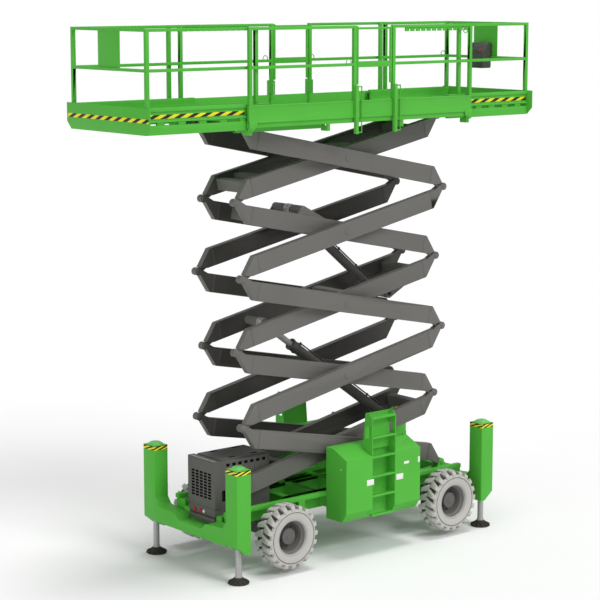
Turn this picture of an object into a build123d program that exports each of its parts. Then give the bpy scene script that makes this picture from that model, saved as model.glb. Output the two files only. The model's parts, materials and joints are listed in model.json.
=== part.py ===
from build123d import *
from math import asin, cos, degrees, radians, sin
import os

# Rough-terrain scissor lift, five scissor levels, double roll-out deck, four outriggers.
# Frame: X along the machine (steering axle at -X), Y across it, Z up, ground at Z = 0,
# origin under the middle of the platform with both roll-out decks out, millimetres.
os.makedirs("parts", exist_ok=True)

# ---------------------------------------------------------------- scissor driving sizes
LEVELS = 5
PIN_SPAN = 3828.0            # end pin to end pin of every arm
REST_ANGLE = 15.5            # pin line above the level, as stored
ARM_DEPTH = 256.0            # height of an arm's box section
ARM_GAP = 6.0                # between two arms lying on each other
BASE_PIN_X = 2037.0          # fixed pivots stand at this end
BASE_PIN_Z = 970.0
INNER_Y0 = 318.0             # inner arm, near face of its box from the middle plane
INNER_WIDTH = 90.0
OUTER_Y0 = 452.0
OUTER_WIDTH = 100.0
END_CUTBACK = 250.0          # an arm's end leans back this much over its depth
PIN_R = 30.0
BOSS_R = 55.0
LUG_REACH = 165.0            # a pin lug runs this far back along the arm
NOSE_SIDES = 12              # sides of a boss, a seat tube and a pivot's bore
RUNNING = 0.05               # radial clearance in every pivot
LUG_GAP = 2.0                # side clearance between tongue and fork
RELIEF = 6.0                 # clearance round a lug in the other arm
CENTRE_PIN_R = 40.0
CENTRE_COLLAR_R = 58.0
CENTRE_GAP = 1.0             # side clearance at the centre pivot
CENTRE_HEAD_R = 44.0
HEAD_R = 38.0                # six-sided head on an end pin
HEAD_SIDES = 6
HEAD_T = 10.0
ROLLER_W = 60.0
ROLLER_GAP = 23.0            # from the outer arm's face to the roller
BASE_ROLLER_R = 60.0
DECK_ROLLER_R = 50.0
TRACK_CLEAR = 0.5

PIN_DROP = ARM_DEPTH + ARM_GAP                       # pin line's rise over a level arm
LEAN = degrees(asin(PIN_DROP / PIN_SPAN))            # pin line against the box, in degrees
HALF_RUN = PIN_SPAN * cos(radians(LEAN)) / 2         # end pin from the middle, along the box
LEVEL_RISE = PIN_SPAN * sin(radians(REST_ANGLE))
LEVEL_RUN = PIN_SPAN * cos(radians(REST_ANGLE))
LEFT_PIN_X = BASE_PIN_X - LEVEL_RUN
MID_X = BASE_PIN_X - LEVEL_RUN / 2
TOP_PIN_Z = BASE_PIN_Z + LEVELS * LEVEL_RISE
OUTER_Y1 = OUTER_Y0 + OUTER_WIDTH
INNER_Y1 = INNER_Y0 + INNER_WIDTH
ROLLER_Y0 = OUTER_Y1 + ROLLER_GAP
ROLLER_Y1 = ROLLER_Y0 + ROLLER_W

# ---------------------------------------------------------------- chassis sizes
BEAM_Y0, BEAM_Y1 = 302.0, 440.0      # main beams, from the middle plane
BEAM_Z0, BEAM_Z1 = 640.0, 860.0
TRACK_Y0, TRACK_Y1 = 568.0, 645.0    # roller tracks outside the arms
TRACK_Z0 = 850.0
TRACK_TOP = BASE_PIN_Z - BASE_ROLLER_R - TRACK_CLEAR
FRAME_X0, FRAME_X1 = -1945.0, 2360.0 # between the outrigger frames
PLATE_T = 14.0
CROSS_X = (-1870.0, -710.0, -190.0, 430.0, 1050.0, 1310.0, 2290.0)   # members across the frame
CROSS_W = 110.0
CROSS_Z0, CROSS_Z1 = 680.0, 850.0
OUTRIGGER_X = (-2062.5, 2477.5)      # middle of each outrigger frame
TOWER_L, TOWER_W = 235.0, 260.0      # along X, across
TOWER_Y = 950.0
TOWER_TOP = 1575.0
TOWER_LOW, TOWER_HIGH = 412.0, 538.0 # slanted foot, inboard and outboard edge
TOWER_CAP_W, TOWER_CAP_H = 140.0, 60.0
LEG_R, LEG_CLEAR = 43.0, 0.25
LEG_TOP = 1240.0
LEG_BORE_TOP = 1560.0
LEG_STEPS = ((150.0, 22.0), (110.0, 22.0), (70.0, 18.0))   # pad, from the ground up: radius, height
PAD_SIDES = 20
CROSS_BOTTOM, CROSS_MID_TOP, CROSS_END_TOP = 500.0, 652.0, 905.0
WHEEL_R, TYRE_W = 442.5, 320.0
TYRE_Y0 = 790.0                      # inner face of the tyre
TYRE_SEAT_R = 250.0
TYRE_SIDEWALL_R = 360.0
TREAD_DEPTH = 42.0
LUGS = 20                            # on each shoulder
LUG_HALF_W = 22.0
SHOULDER = 22.0                      # lugs start this far in from the sidewall
RIM_SIDES = 32
AXLE_Z = 512.0
FRONT_AXLE_X, REAR_AXLE_X = -1234.0, 1789.0
AXLE_HALF = 75.0                     # half the axle beam's height and breadth
SPINDLE_R = 35.0
SPINDLE_Y1 = 1010.0
RIM_BORE_R = 200.0
RIM_FLANGE = 22.0                    # flange inside the tyre's seat
RIM_STEP = 55.0                      # depth of the flange's step
HUB_R = 115.0
HUB_Y0, HUB_Y1 = 800.0, 1005.0
DISC_Y0, DISC_Y1 = 880.0, 900.0
KING_Y = 700.0
KING_PIN_R = 25.0
KNUCKLE_R = 45.0
YOKE_INSET = 75.0                    # yoke's face, in from the king pin
SPRING_SEAT = 120.0                  # half the length of an axle's seat under a beam
KNUCKLE_Z0, KNUCKLE_Z1 = 404.0, 620.0
YOKE_T = 36.0
YOKE_GAP = 2.0
STEER_ARM = 220.0
STEER_ARM_Z0, STEER_ARM_Z1 = 425.0, 455.0
TIE_EYE_R, TIE_PIN_R, TIE_T = 30.0, 12.0, 30.0

UNIT_X0, UNIT_X1 = -1930.0, -1000.0  # power unit between the inner arms
UNIT_HALF_W = 293.0
UNIT_Z0, UNIT_Z1 = 700.0, 1530.0
UNIT_NOSE = 90.0                     # slanted lower front edge

BOX_X0, BOX_X1 = -266.0, 1126.0       # side modules
BOX_Y0, BOX_Y1 = 645.0, 1080.0
BOX_Z0, BOX_Z1 = 530.0, 1555.0
BOX_LOW_CHAMFER = (93.0, 130.0)      # across, up
BOX_TOP_CHAMFER = (290.0, 128.0)
LADDER_X0, LADDER_X1 = 220.0, 642.0
LADDER_Y0 = 900.0                    # back of the ladder's recess
LADDER_PLATE_T = 12.0
LADDER_TOP = 2018.0
RUNG_Z0, RUNG_PITCH, RUNGS = 565.0, 280.0, 6
RUNG_D, RUNG_H = 60.0, 26.0
LIFT_EYE_X = 1080.0

# ---------------------------------------------------------------- platform sizes
DECK_Z = round(TOP_PIN_Z)            # every height of the platform is counted from its lower pins
DECK_X0, DECK_X1 = -1832.0, 2206.0
DECK_HALF_W = 924.5
SKIRT_Z0, SKIRT_Z1 = DECK_Z + 74.0, DECK_Z + 308.0
SKIRT_T = 12.0
LIP_T, LIP_H = 6.0, 22.0             # folded lip along the skirt's foot and brow
FLOOR_Z = DECK_Z + 170.0
FLOOR_T = 10.0
FLOOR_HALF_W = DECK_HALF_W - 134.5
DECK_CROSS_Z0 = DECK_Z + 67.0
DECK_CROSS_X = (-1785.0, -1450.0, -1120.0, -785.0, -450.0, 220.0, 555.0, 890.0, 1315.0, 1740.0, 2160.0)
DECK_CROSS_W = 70.0
HANGER_X = (-1785.0, -450.0, 890.0, 2160.0)   # straps that carry the side beams past the roll-out decks
HANGER_W = 50.0
HANGER_Z0, HANGER_Z1 = DECK_Z - 85.0, DECK_Z - 15.3
SIDE_Y0, SIDE_Z0 = DECK_HALF_W - 54.5, DECK_Z + 9.0     # side beam's inner face and bottom
DECK_TRACK_X1 = -330.0
RAIL_TOP = DECK_Z + 1320.0
RAIL_MID = DECK_Z + 795.0            # middle of the mid rail
RAIL = 40.0                          # square rail tube
POST = 50.0
MAIN_RAIL_Y = DECK_HALF_W - 22.5
MAIN_POST_X = (-1800.0, 2180.0)
EXT_SIDE_Y0, EXT_SIDE_Y1 = DECK_HALF_W - 124.5, DECK_HALF_W - 62.5
EXT_RAIL_Y = EXT_SIDE_Y1 - 26.0
EXT_END_X = (-3424.0, 3424.0)        # outer faces of the end plates
EXT_OVERLAP = 400.0
EXT_Z0, EXT_TOP_Z = DECK_Z - 15.0, DECK_Z + 325.0
EXT_END_TOP_Z = EXT_TOP_Z + 6.0
EXT_END_T = 12.0
EXT_END_CHAMFER = 100.0
EXT_CHANNEL_Z0 = DECK_Z + 145.0
EXT_BAR_Z1 = DECK_Z + 105.0
EXT_SPACERS = 6
EXT_FLOOR_Z = DECK_Z + 187.0
EXT_POST_INSET = 25.0                # corner posts, from the end plate's face
EXT_INNER_POST = 218.0               # inner posts, from the deck's inner end
PANEL_HALF_W, PANEL_T = 250.0, 6.0   # sheet between the end rails
CONTROL_Y0, CONTROL_Y1 = -150.0, 180.0
CONTROL_Z0, CONTROL_Z1 = DECK_Z + 635.0, DECK_Z + 1015.0
CONTROL_D = 190.0
CONTROL_EDGE = 30.0
GATE_POST_X = (0.0, 708.0)
LIP_RUNS = (                         # the lips stop at the gate's legs
    (DECK_X0, GATE_POST_X[0] - POST / 2),
    (GATE_POST_X[0] + POST / 2, GATE_POST_X[1] - POST / 2),
    (GATE_POST_X[1] + POST / 2, DECK_X1),
)
GATE_LEG_Z0, GATE_LEG_Z1 = DECK_Z - 145.0, DECK_Z + 515.0
GATE_HANDLE_X, GATE_HANDLE_R = 95.0, 9.0
HANDLE_SIDES = 8
GATE_TUBE = 30.0
GATE_HINGE_X = 52.0
GATE_FREE_X = 660.0                  # closing tube, centre line
GATE_Z0, GATE_Z1 = DECK_Z + 535.0, DECK_Z + 1295.0
GATE_BAR_Z0, GATE_BAR_Z1 = DECK_Z + 755.0, DECK_Z + 835.0
GATE_PIN_R = 8.0
GATE_PIN_LEN = 20.0
RACK_PITCH, RACK_TEETH = 70.0, 8     # toothed stop bar under a roll-out deck's top rail
RACK_DEPTH = 26.0


def block(x0, x1, y0, y1, z0, z1, mode=Mode.ADD):
    """Box between six faces, in the part being built."""
    with Locations(((x0 + x1) / 2, (y0 + y1) / 2, (z0 + z1) / 2)):
        Box(abs(x1 - x0), abs(y1 - y0), z1 - z0, mode=mode)


def bar(plane, radius, length, mode=Mode.ADD):
    """Round bar standing on a plane, in the part being built."""
    with Locations(plane):
        Cylinder(radius, length, align=(Align.CENTER, Align.CENTER, Align.MIN), mode=mode)


def many_sided(plane, radius, sides, length, flats=False):
    """Bar of that many sides standing on a plane; with flats, the radius is to its flat sides."""
    with BuildPart() as piece:
        with BuildSketch(plane):
            RegularPolygon(radius, sides, major_radius=not flats)
        extrude(amount=length)
    return piece.part


def across(x, y, z):
    """Plane whose normal is +Y."""
    return Plane(origin=(x, y, z), x_dir=(1, 0, 0), z_dir=(0, 1, 0))


def finish(builder, name):
    """Label a finished piece and write its file."""
    builder.part.label = name
    export_step(builder.part, f"parts/{name}.step")


def arm_slope(level, kind):
    """+1 where the arm's upper end points to +X."""
    rising = (level % 2 == 1) if kind == "inner" else (level % 2 == 0)
    return 1 if rising else -1


def arm_plane(level, kind):
    """Plane along an arm's box, its origin on the centre pivot, its normal to -Y."""
    g = arm_slope(level, kind)
    tilt = radians(REST_ANGLE - LEAN) * g
    middle = BASE_PIN_Z + (LEVELS - level + 0.5) * LEVEL_RISE
    return Plane(origin=(MID_X, 0, middle), x_dir=(cos(tilt), 0, sin(tilt)), z_dir=(0, -1, 0))


def lug(plane, x, y, reach_g, radius, low, high):
    """Lug with a many-sided nose and a tapered tail, from low to high along the plane's normal."""
    with BuildPart() as piece:
        with BuildSketch(plane.offset(low)):
            with Locations((x, y)):
                RegularPolygon(radius, NOSE_SIDES)
            with BuildLine():
                Polyline(
                    (x, y - radius),
                    (x, y + radius),
                    (x - reach_g * (LUG_REACH + radius - BOSS_R), y),
                    close=True,
                )
            make_face()
        extrude(amount=high - low)
    return piece.part


# Cross members and cylinder seats of each arm, placed in the arm's own plane.
# name, level, kind, cross tubes as (x, y, width, height)
ARM_TABLE = (
    ("arm_outer_1", 1, "outer", ()),
    ("arm_inner_1", 1, "inner", ((-1600, 0, 100, 160), (-1290, 0, 100, 160), (380, 0, 100, 160), (1500, 0, 100, 160))),
    ("arm_outer_2", 2, "outer", ()),
    ("arm_inner_2", 2, "inner", ((-1350, 0, 100, 160), (950, 0, 100, 160), (1550, 0, 100, 160))),
    ("arm_outer_3", 3, "outer", ()),
    ("arm_inner_3", 3, "inner", ((150, 60, 100, 100), (1500, 0, 100, 160))),
    ("arm_outer_4", 4, "outer", ()),
    ("arm_inner_4", 4, "inner", ((-1010, -40, 100, 120), (1080, -70, 100, 100), (1550, 0, 100, 160))),
    ("arm_outer_5", 5, "outer", ()),
    ("arm_inner_5", 5, "inner", ((-900, -40, 100, 120), (-200, -40, 100, 120), (1640, 0, 100, 160))),
)

# Lift cylinders: seat of the barrel and of the rod's eye as (level, x, y) on inner arms, and sizes
# name, (barrel seat), (eye seat), barrel radius, rod radius, barrel length, rod length
CYLINDERS = (
    ("upper", (3, 989.0, -190.0), (2, -654.0, 192.0), 66.0, 38.0, 1620.0, 1620.0),
    ("lower", (5, 1262.0, -107.0), (3, -1114.0, 6.0), 74.0, 45.0, 2270.0, 2260.0),
)
SEAT_PIN_R = 32.0
SEAT_TUBE_R = 62.0
SEAT_Y = 82.0                # seat tubes stand this far out from the middle plane
SEAT_PLATE_T = 24.0
EYE_R = 68.0
EYE_HALF_W = 60.0
SEAT_PIN_LEN = 230.0         # half the barrel pin's length
BARREL_GLAND = 120.0
BARREL_FOOT = 72.0           # bore starts this far above the barrel's pin
ROD_CLEAR = 0.25


SEAT_PLATE_RUN = 420.0       # an offset seat's plate runs this far along the arm
SEATS = [(*c[1], True) for c in CYLINDERS] + [(*c[2], False) for c in CYLINDERS]   # level, x, y, bored


def seat_point(seat):
    """A cylinder seat's place in the machine's frame."""
    level, x, y = seat
    return arm_plane(level, "inner").from_local_coords(Vector(x, y, 0))


# ================================================================ scissor arms
for name, level, kind, tubes in ARM_TABLE:
    g = arm_slope(level, kind)
    plane = arm_plane(level, kind)
    y0, width = (INNER_Y0, INNER_WIDTH) if kind == "inner" else (OUTER_Y0, OUTER_WIDTH)
    y1 = y0 + width
    cheek = (width - 2 * LUG_GAP) / 3                   # fork cheek, tongue is as thick
    tongue0 = y0 + cheek + LUG_GAP
    tongue1 = y1 - cheek - LUG_GAP
    up = (g * HALF_RUN, PIN_DROP / 2)
    low = (-g * HALF_RUN, -PIN_DROP / 2)
    half = ARM_DEPTH / 2
    has_upper_fork = level > 1                          # the arm above sits in this fork
    has_lower_tongue = level < LEVELS
    with BuildPart() as arm:
        with BuildSketch(plane.offset(y0)):
            with BuildLine():
                Polyline(
                    (low[0], -half),
                    (low[0] + g * END_CUTBACK, half),
                    (up[0], half),
                    (up[0] - g * END_CUTBACK, -half),
                    close=True,
                )
            make_face()
        extrude(amount=width)
        # upper end: fork round the next arm's tongue, or a plain boss under the deck
        nose = BOSS_R if level > 1 or kind == "inner" else DECK_ROLLER_R
        add(lug(plane, *up, g, nose, y0, y1))
        if has_upper_fork:
            slot0 = tongue0 - LUG_GAP
            slot1 = tongue1 + LUG_GAP
            add(lug(plane, *up, g, BOSS_R + RELIEF, slot0, slot1), mode=Mode.SUBTRACT)
            with BuildSketch(plane.offset(slot0)):
                with Locations(up):
                    Circle(PIN_R)
            extrude(amount=slot1 - slot0)
            with BuildSketch(plane.offset(y0 - HEAD_T), plane.offset(y1)):
                with Locations(up):
                    RegularPolygon(HEAD_R, HEAD_SIDES)
            extrude(amount=HEAD_T)
        # lower end: tongue in the fork of the arm below, or a plain boss on the chassis
        if has_lower_tongue:
            add(lug(plane, *low, -g, BOSS_R + RELIEF, y0, tongue0), mode=Mode.SUBTRACT)
            add(lug(plane, *low, -g, BOSS_R + RELIEF, tongue1, y1), mode=Mode.SUBTRACT)
            add(lug(plane, *low, -g, BOSS_R, tongue0, tongue1))
        else:
            add(lug(plane, *low, -g, BOSS_R, y0, y1))
        # bores of the ends that turn on another piece's pin
        bored = [low] if (has_lower_tongue or kind == "outer") else []
        if not has_upper_fork and kind == "inner":
            bored.append(up)
        for spot in bored:
            with BuildSketch(plane.offset(y0)):
                with Locations(spot):
                    RegularPolygon(PIN_R + RUNNING, NOSE_SIDES, major_radius=False)
            extrude(amount=width, mode=Mode.SUBTRACT)
        # roller ends, on a stub axle
        rollers = []
        if level == 1 and kind == "outer":
            rollers.append((up, DECK_ROLLER_R))
        if level == LEVELS and kind == "inner":
            rollers.append((low, BASE_ROLLER_R))
        for spot, radius in rollers:
            with BuildSketch(plane.offset(y1)):
                with Locations(spot):
                    RegularPolygon(PIN_R, NOSE_SIDES)
            extrude(amount=ROLLER_Y0 - y1)
            with BuildSketch(plane.offset(ROLLER_Y0)):
                with Locations(spot):
                    Circle(radius)
            extrude(amount=ROLLER_W)
        # centre pivot: collar, pin and heads on the outer arm, bore in the inner one
        if kind == "outer":
            with BuildSketch(plane.offset(INNER_Y0 - CENTRE_GAP)):
                Circle(CENTRE_PIN_R)
            extrude(amount=INNER_WIDTH + 2 * CENTRE_GAP)
            with BuildSketch(plane.offset(INNER_Y1 + CENTRE_GAP)):
                RegularPolygon(CENTRE_COLLAR_R, NOSE_SIDES)
            extrude(amount=OUTER_Y0 - INNER_Y1 - CENTRE_GAP)
            with BuildSketch(plane.offset(OUTER_Y1), plane.offset(INNER_Y0 - CENTRE_GAP - HEAD_T)):
                RegularPolygon(CENTRE_HEAD_R, NOSE_SIDES)
            extrude(amount=HEAD_T)
        else:
            with BuildSketch(plane.offset(INNER_Y0)):
                RegularPolygon(CENTRE_PIN_R + RUNNING, NOSE_SIDES, major_radius=False)
            extrude(amount=INNER_WIDTH, mode=Mode.SUBTRACT)
        # cylinder seats: tubes out to the beams, with a plate where one stands off the arm
        for seat_level, x, y, has_bore in SEATS:
            if kind == "outer" or seat_level != level:
                continue
            with BuildSketch(plane.offset(SEAT_Y)):
                with Locations((x, y)):
                    RegularPolygon(SEAT_TUBE_R, NOSE_SIDES)
            extrude(amount=INNER_Y0 - SEAT_Y)
            if abs(y) > SEAT_TUBE_R:
                edge = half if y > 0 else -half
                with BuildSketch(plane.offset(INNER_Y0 - SEAT_PLATE_T)):
                    with BuildLine():
                        Polyline(
                            (x - SEAT_TUBE_R, y),
                            (x, y + SEAT_TUBE_R * (1 if y > 0 else -1)),
                            (x + SEAT_PLATE_RUN, edge),
                            (x + SEAT_PLATE_RUN, edge / 2),
                            (x - 2 * SEAT_TUBE_R, edge / 2),
                            close=True,
                        )
                    make_face()
                extrude(amount=SEAT_PLATE_T)
            if has_bore:
                with BuildSketch(plane.offset(SEAT_Y)):
                    with Locations((x, y)):
                        RegularPolygon(SEAT_PIN_R + RUNNING, NOSE_SIDES, major_radius=False)
                extrude(amount=INNER_Y0 - SEAT_Y, mode=Mode.SUBTRACT)
        mirror(about=Plane.XZ)
        # cross tubes between the pair
        for x, y, w, h in tubes:
            with BuildSketch(plane):
                with Locations((x, y)):
                    Rectangle(w, h)
            extrude(amount=INNER_Y0, both=True)
    finish(arm, name)


# ================================================================ lift cylinders
for name, barrel_seat, eye_seat, barrel_r, rod_r, barrel_len, rod_len in CYLINDERS:
    foot = seat_point(barrel_seat)
    head = seat_point(eye_seat)
    axis = (head - foot).normalized()
    length = (head - foot).length
    along = Plane(origin=foot, x_dir=(0, 1, 0), z_dir=axis)     # +Z up the cylinder from the barrel's pin
    sideways = Plane(origin=foot, x_dir=axis, z_dir=(0, -1, 0))   # +X up the cylinder
    with BuildPart() as barrel:
        with BuildSketch(along.offset(EYE_R * 0.6)):
            Circle(barrel_r)
        extrude(amount=barrel_len - EYE_R * 0.6)
        with BuildSketch(along.offset(barrel_len - BARREL_GLAND)):
            Circle(barrel_r + 6)
        extrude(amount=BARREL_GLAND)
        with BuildSketch(along.offset(BARREL_FOOT)):
            RegularPolygon(rod_r + ROD_CLEAR, NOSE_SIDES, major_radius=False)
        extrude(amount=barrel_len - BARREL_FOOT, mode=Mode.SUBTRACT)
        with BuildSketch(sideways.offset(-EYE_HALF_W)):
            RegularPolygon(EYE_R, NOSE_SIDES)
        extrude(amount=2 * EYE_HALF_W)
        with BuildSketch(sideways.offset(-SEAT_PIN_LEN)):
            Circle(SEAT_PIN_R)
        extrude(amount=2 * SEAT_PIN_LEN)
    finish(barrel, f"cylinder_{name}_barrel")
    with BuildPart() as rod:
        with BuildSketch(along.offset(length - rod_len)):
            Circle(rod_r)
        extrude(amount=rod_len - EYE_R * 0.6)
        with BuildSketch(sideways.offset(-EYE_HALF_W)):
            with Locations((length, 0)):
                RegularPolygon(EYE_R, NOSE_SIDES)
                RegularPolygon(SEAT_PIN_R, NOSE_SIDES, mode=Mode.SUBTRACT)
        extrude(amount=2 * EYE_HALF_W)
    finish(rod, f"cylinder_{name}_rod")

# ================================================================ chassis frame
with BuildPart() as frame:
    block(FRAME_X0, FRAME_X1, BEAM_Y0, BEAM_Y1, BEAM_Z0, BEAM_Z1)
    block(FRAME_X0, FRAME_X1, TRACK_Y0, TRACK_Y1, TRACK_Z0, TRACK_TOP)
    # base pivot: a plate each side of the outer arm, with the pin through it
    plates = (OUTER_Y0 - LUG_GAP - PLATE_T, BEAM_Z1 - 40), (OUTER_Y1 + LUG_GAP, TRACK_Z0)
    for y, foot_z in plates:
        with BuildSketch(across(BASE_PIN_X, y, BASE_PIN_Z)):
            RegularPolygon(BOSS_R, NOSE_SIDES)
            with BuildLine():
                Polyline(
                    (-BOSS_R, 0),
                    (BOSS_R, 0),
                    (2 * BOSS_R, BASE_PIN_Z - foot_z),
                    (-2 * BOSS_R, BASE_PIN_Z - foot_z),
                    close=True,
                )
            make_face()
        extrude(amount=PLATE_T)
    pin_from = OUTER_Y0 - LUG_GAP
    bar(across(BASE_PIN_X, pin_from, BASE_PIN_Z), PIN_R, OUTER_Y1 + LUG_GAP - pin_from)
    for y in (pin_from - PLATE_T - HEAD_T, OUTER_Y1 + LUG_GAP + PLATE_T):
        add(many_sided(across(BASE_PIN_X, y, BASE_PIN_Z), HEAD_R, HEAD_SIDES, HEAD_T))
    mirror(about=Plane.XZ)
    # members across: outriggers under the tracks all along, whole ones behind the power unit
    for x in CROSS_X:
        for side in (-1, 1):
            block(x - CROSS_W / 2, x + CROSS_W / 2, side * BEAM_Y1, side * TRACK_Y1, CROSS_Z0, CROSS_Z1)
        if x > UNIT_X1:
            block(x - CROSS_W / 2, x + CROSS_W / 2, -BEAM_Y0, BEAM_Y0, BEAM_Z0, CROSS_Z1)
    # belly plate under the power unit
    block(FRAME_X0, UNIT_X1, -BEAM_Y0, BEAM_Y0, BEAM_Z0, UNIT_Z0)
finish(frame, "chassis_frame")

# ================================================================ outrigger frames and legs
for end, x in zip(("front", "rear"), OUTRIGGER_X):
    out = -1 if end == "front" else 1
    with BuildPart() as outrigger:
        # U-shaped member across the machine
        with BuildSketch(Plane.YZ.offset(x - TOWER_L / 2)):
            with BuildLine():
                Polyline(
                    (0, CROSS_BOTTOM),
                    (TOWER_Y - TOWER_W / 2, CROSS_BOTTOM),
                    (TOWER_Y - TOWER_W / 2, CROSS_END_TOP),
                    (690, 880),
                    (450, 820),
                    (420, 760),
                    (275, CROSS_MID_TOP),
                    (0, CROSS_MID_TOP),
                    close=True,
                )
            make_face()
        extrude(amount=TOWER_L)
        # tower with its slanted foot, bored for the leg
        with BuildSketch(across(x, TOWER_Y - TOWER_W / 2, 0)):
            with BuildLine():
                Polyline(
                    (-out * TOWER_L / 2, -TOWER_TOP),
                    (out * TOWER_L / 2, -TOWER_TOP),
                    (out * TOWER_L / 2, -TOWER_HIGH),
                    (-out * TOWER_L / 6, -TOWER_LOW),
                    (-out * TOWER_L / 2, -TOWER_LOW),
                    close=True,
                )
            make_face()
        extrude(amount=TOWER_W)
        with Locations((x, TOWER_Y, TOWER_TOP + TOWER_CAP_H / 2)):
            Box(TOWER_CAP_W, TOWER_CAP_W, TOWER_CAP_H)
        bore = many_sided(Plane(origin=(x, TOWER_Y, 0)), LEG_R + LEG_CLEAR, NOSE_SIDES, LEG_BORE_TOP, flats=True)
        add(bore, mode=Mode.SUBTRACT)
        mirror(about=Plane.XZ)
    finish(outrigger, f"outrigger_frame_{end}")
    for side, y in (("near", -TOWER_Y), ("far", TOWER_Y)):
        with BuildPart() as leg:
            floor_z = 0.0
            for radius, height in LEG_STEPS:
                add(many_sided(Plane(origin=(x, y, floor_z)), radius, PAD_SIDES, height))
                floor_z += height
            bar(Plane(origin=(x, y, floor_z)), LEG_R, LEG_TOP - floor_z)
        finish(leg, f"leg_{end}_{side}")

# ================================================================ side modules with ladder
for side_name, side in (("near", -1), ("far", 1)):
    with BuildPart() as module:
        low_y, low_z = BOX_LOW_CHAMFER
        top_y, top_z = BOX_TOP_CHAMFER
        with BuildSketch(Plane.YZ.offset(BOX_X0)):
            with BuildLine():
                Polyline(
                    (side * BOX_Y0, BOX_Z0),
                    (side * (BOX_Y1 - low_y), BOX_Z0),
                    (side * BOX_Y1, BOX_Z0 + low_z),
                    (side * BOX_Y1, BOX_Z1 - top_z),
                    (side * (BOX_Y1 - top_y), BOX_Z1),
                    (side * BOX_Y0, BOX_Z1),
                    close=True,
                )
            make_face()
        extrude(amount=BOX_X1 - BOX_X0)
        block(LADDER_X0, LADDER_X1, side * LADDER_Y0, side * BOX_Y1, BOX_Z0, BOX_Z1, mode=Mode.SUBTRACT)
        # ladder tower above the box: two side plates and a back
        for x in (LADDER_X0 - LADDER_PLATE_T, LADDER_X1):
            with BuildSketch(Plane.YZ.offset(x)):
                with BuildLine():
                    Polyline(
                        (side * (BOX_Y1 - top_y), BOX_Z1 - 20),
                        (side * (LADDER_Y0 - 60), LADDER_TOP),
                        (side * (BOX_Y1 - RUNG_D), LADDER_TOP),
                        (side * BOX_Y1, LADDER_TOP - RUNG_D),
                        (side * BOX_Y1, BOX_Z0 + low_z),
                        (side * LADDER_Y0, BOX_Z0 + low_z),
                        close=True,
                    )
                make_face()
            extrude(amount=LADDER_PLATE_T)
        block(
            LADDER_X0 - LADDER_PLATE_T, LADDER_X1 + LADDER_PLATE_T,
            side * (LADDER_Y0 - 60), side * (LADDER_Y0 - 60 + LADDER_PLATE_T),
            BOX_Z1 - top_z / 2, LADDER_TOP,
        )
        for rung in range(RUNGS):
            z = RUNG_Z0 + rung * RUNG_PITCH
            block(LADDER_X0, LADDER_X1, side * (BOX_Y1 - RUNG_D), side * BOX_Y1, z - RUNG_H / 2, z + RUNG_H / 2)
        # lifting eye at the rear top edge
        with BuildSketch(across(LIFT_EYE_X, side * (BOX_Y1 - top_y) - 6, BOX_Z1)):
            with Locations((0, -45)):
                RegularPolygon(32, NOSE_SIDES)
            with Locations((0, -18)):
                Rectangle(64, 54)
            with Locations((0, -45)):
                Circle(15, mode=Mode.SUBTRACT)
        extrude(amount=12)
    finish(module, f"side_module_{side_name}")

# ================================================================ power unit
with BuildPart() as unit:
    with BuildSketch(across(0, -UNIT_HALF_W, 0)):
        with BuildLine():
            Polyline(
                (UNIT_X0, -UNIT_Z1),
                (UNIT_X1, -UNIT_Z1),
                (UNIT_X1, -UNIT_Z0),
                (UNIT_X0 + UNIT_NOSE, -UNIT_Z0),
                (UNIT_X0, -(UNIT_Z0 + UNIT_NOSE)),
                close=True,
            )
        make_face()
    extrude(amount=2 * UNIT_HALF_W)
finish(unit, "power_unit")

# ================================================================ axles
with BuildPart() as rear_axle:
    block(REAR_AXLE_X - AXLE_HALF, REAR_AXLE_X + AXLE_HALF, -KING_Y, KING_Y, AXLE_Z - AXLE_HALF, AXLE_Z + AXLE_HALF)
    for side in (-1, 1):
        bar(across(REAR_AXLE_X, KING_Y - 10 if side > 0 else -SPINDLE_Y1, AXLE_Z), SPINDLE_R, SPINDLE_Y1 - KING_Y + 10)
        block(
            REAR_AXLE_X - SPRING_SEAT, REAR_AXLE_X + SPRING_SEAT,
            side * BEAM_Y0, side * BEAM_Y1, AXLE_Z + AXLE_HALF, BEAM_Z0,
        )
finish(rear_axle, "axle_rear")

with BuildPart() as front_axle:
    yoke_y = KING_Y - YOKE_INSET
    block(
        FRONT_AXLE_X - AXLE_HALF, FRONT_AXLE_X + AXLE_HALF,
        -yoke_y, yoke_y, AXLE_Z - AXLE_HALF, AXLE_Z + AXLE_HALF,
    )
    for side in (-1, 1):
        block(
            FRONT_AXLE_X - SPRING_SEAT, FRONT_AXLE_X + SPRING_SEAT,
            side * BEAM_Y0, side * BEAM_Y1, AXLE_Z + AXLE_HALF, BEAM_Z0,
        )
        block(
            FRONT_AXLE_X - AXLE_HALF, FRONT_AXLE_X + AXLE_HALF, side * (yoke_y - 50), side * yoke_y,
            KNUCKLE_Z0 - YOKE_GAP - YOKE_T, KNUCKLE_Z1 + YOKE_GAP + YOKE_T,
        )
        for z in (KNUCKLE_Z0 - YOKE_GAP - YOKE_T, KNUCKLE_Z1 + YOKE_GAP):
            block(
                FRONT_AXLE_X - KNUCKLE_R, FRONT_AXLE_X + KNUCKLE_R,
                side * (yoke_y - 50), side * KING_Y, z, z + YOKE_T,
            )
            add(many_sided(Plane(origin=(FRONT_AXLE_X, side * KING_Y, z)), KNUCKLE_R, NOSE_SIDES, YOKE_T))
        pin_z = KNUCKLE_Z0 - YOKE_GAP
        bar(Plane(origin=(FRONT_AXLE_X, side * KING_Y, pin_z)), KING_PIN_R, KNUCKLE_Z1 + YOKE_GAP - pin_z)
finish(front_axle, "axle_front")

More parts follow.
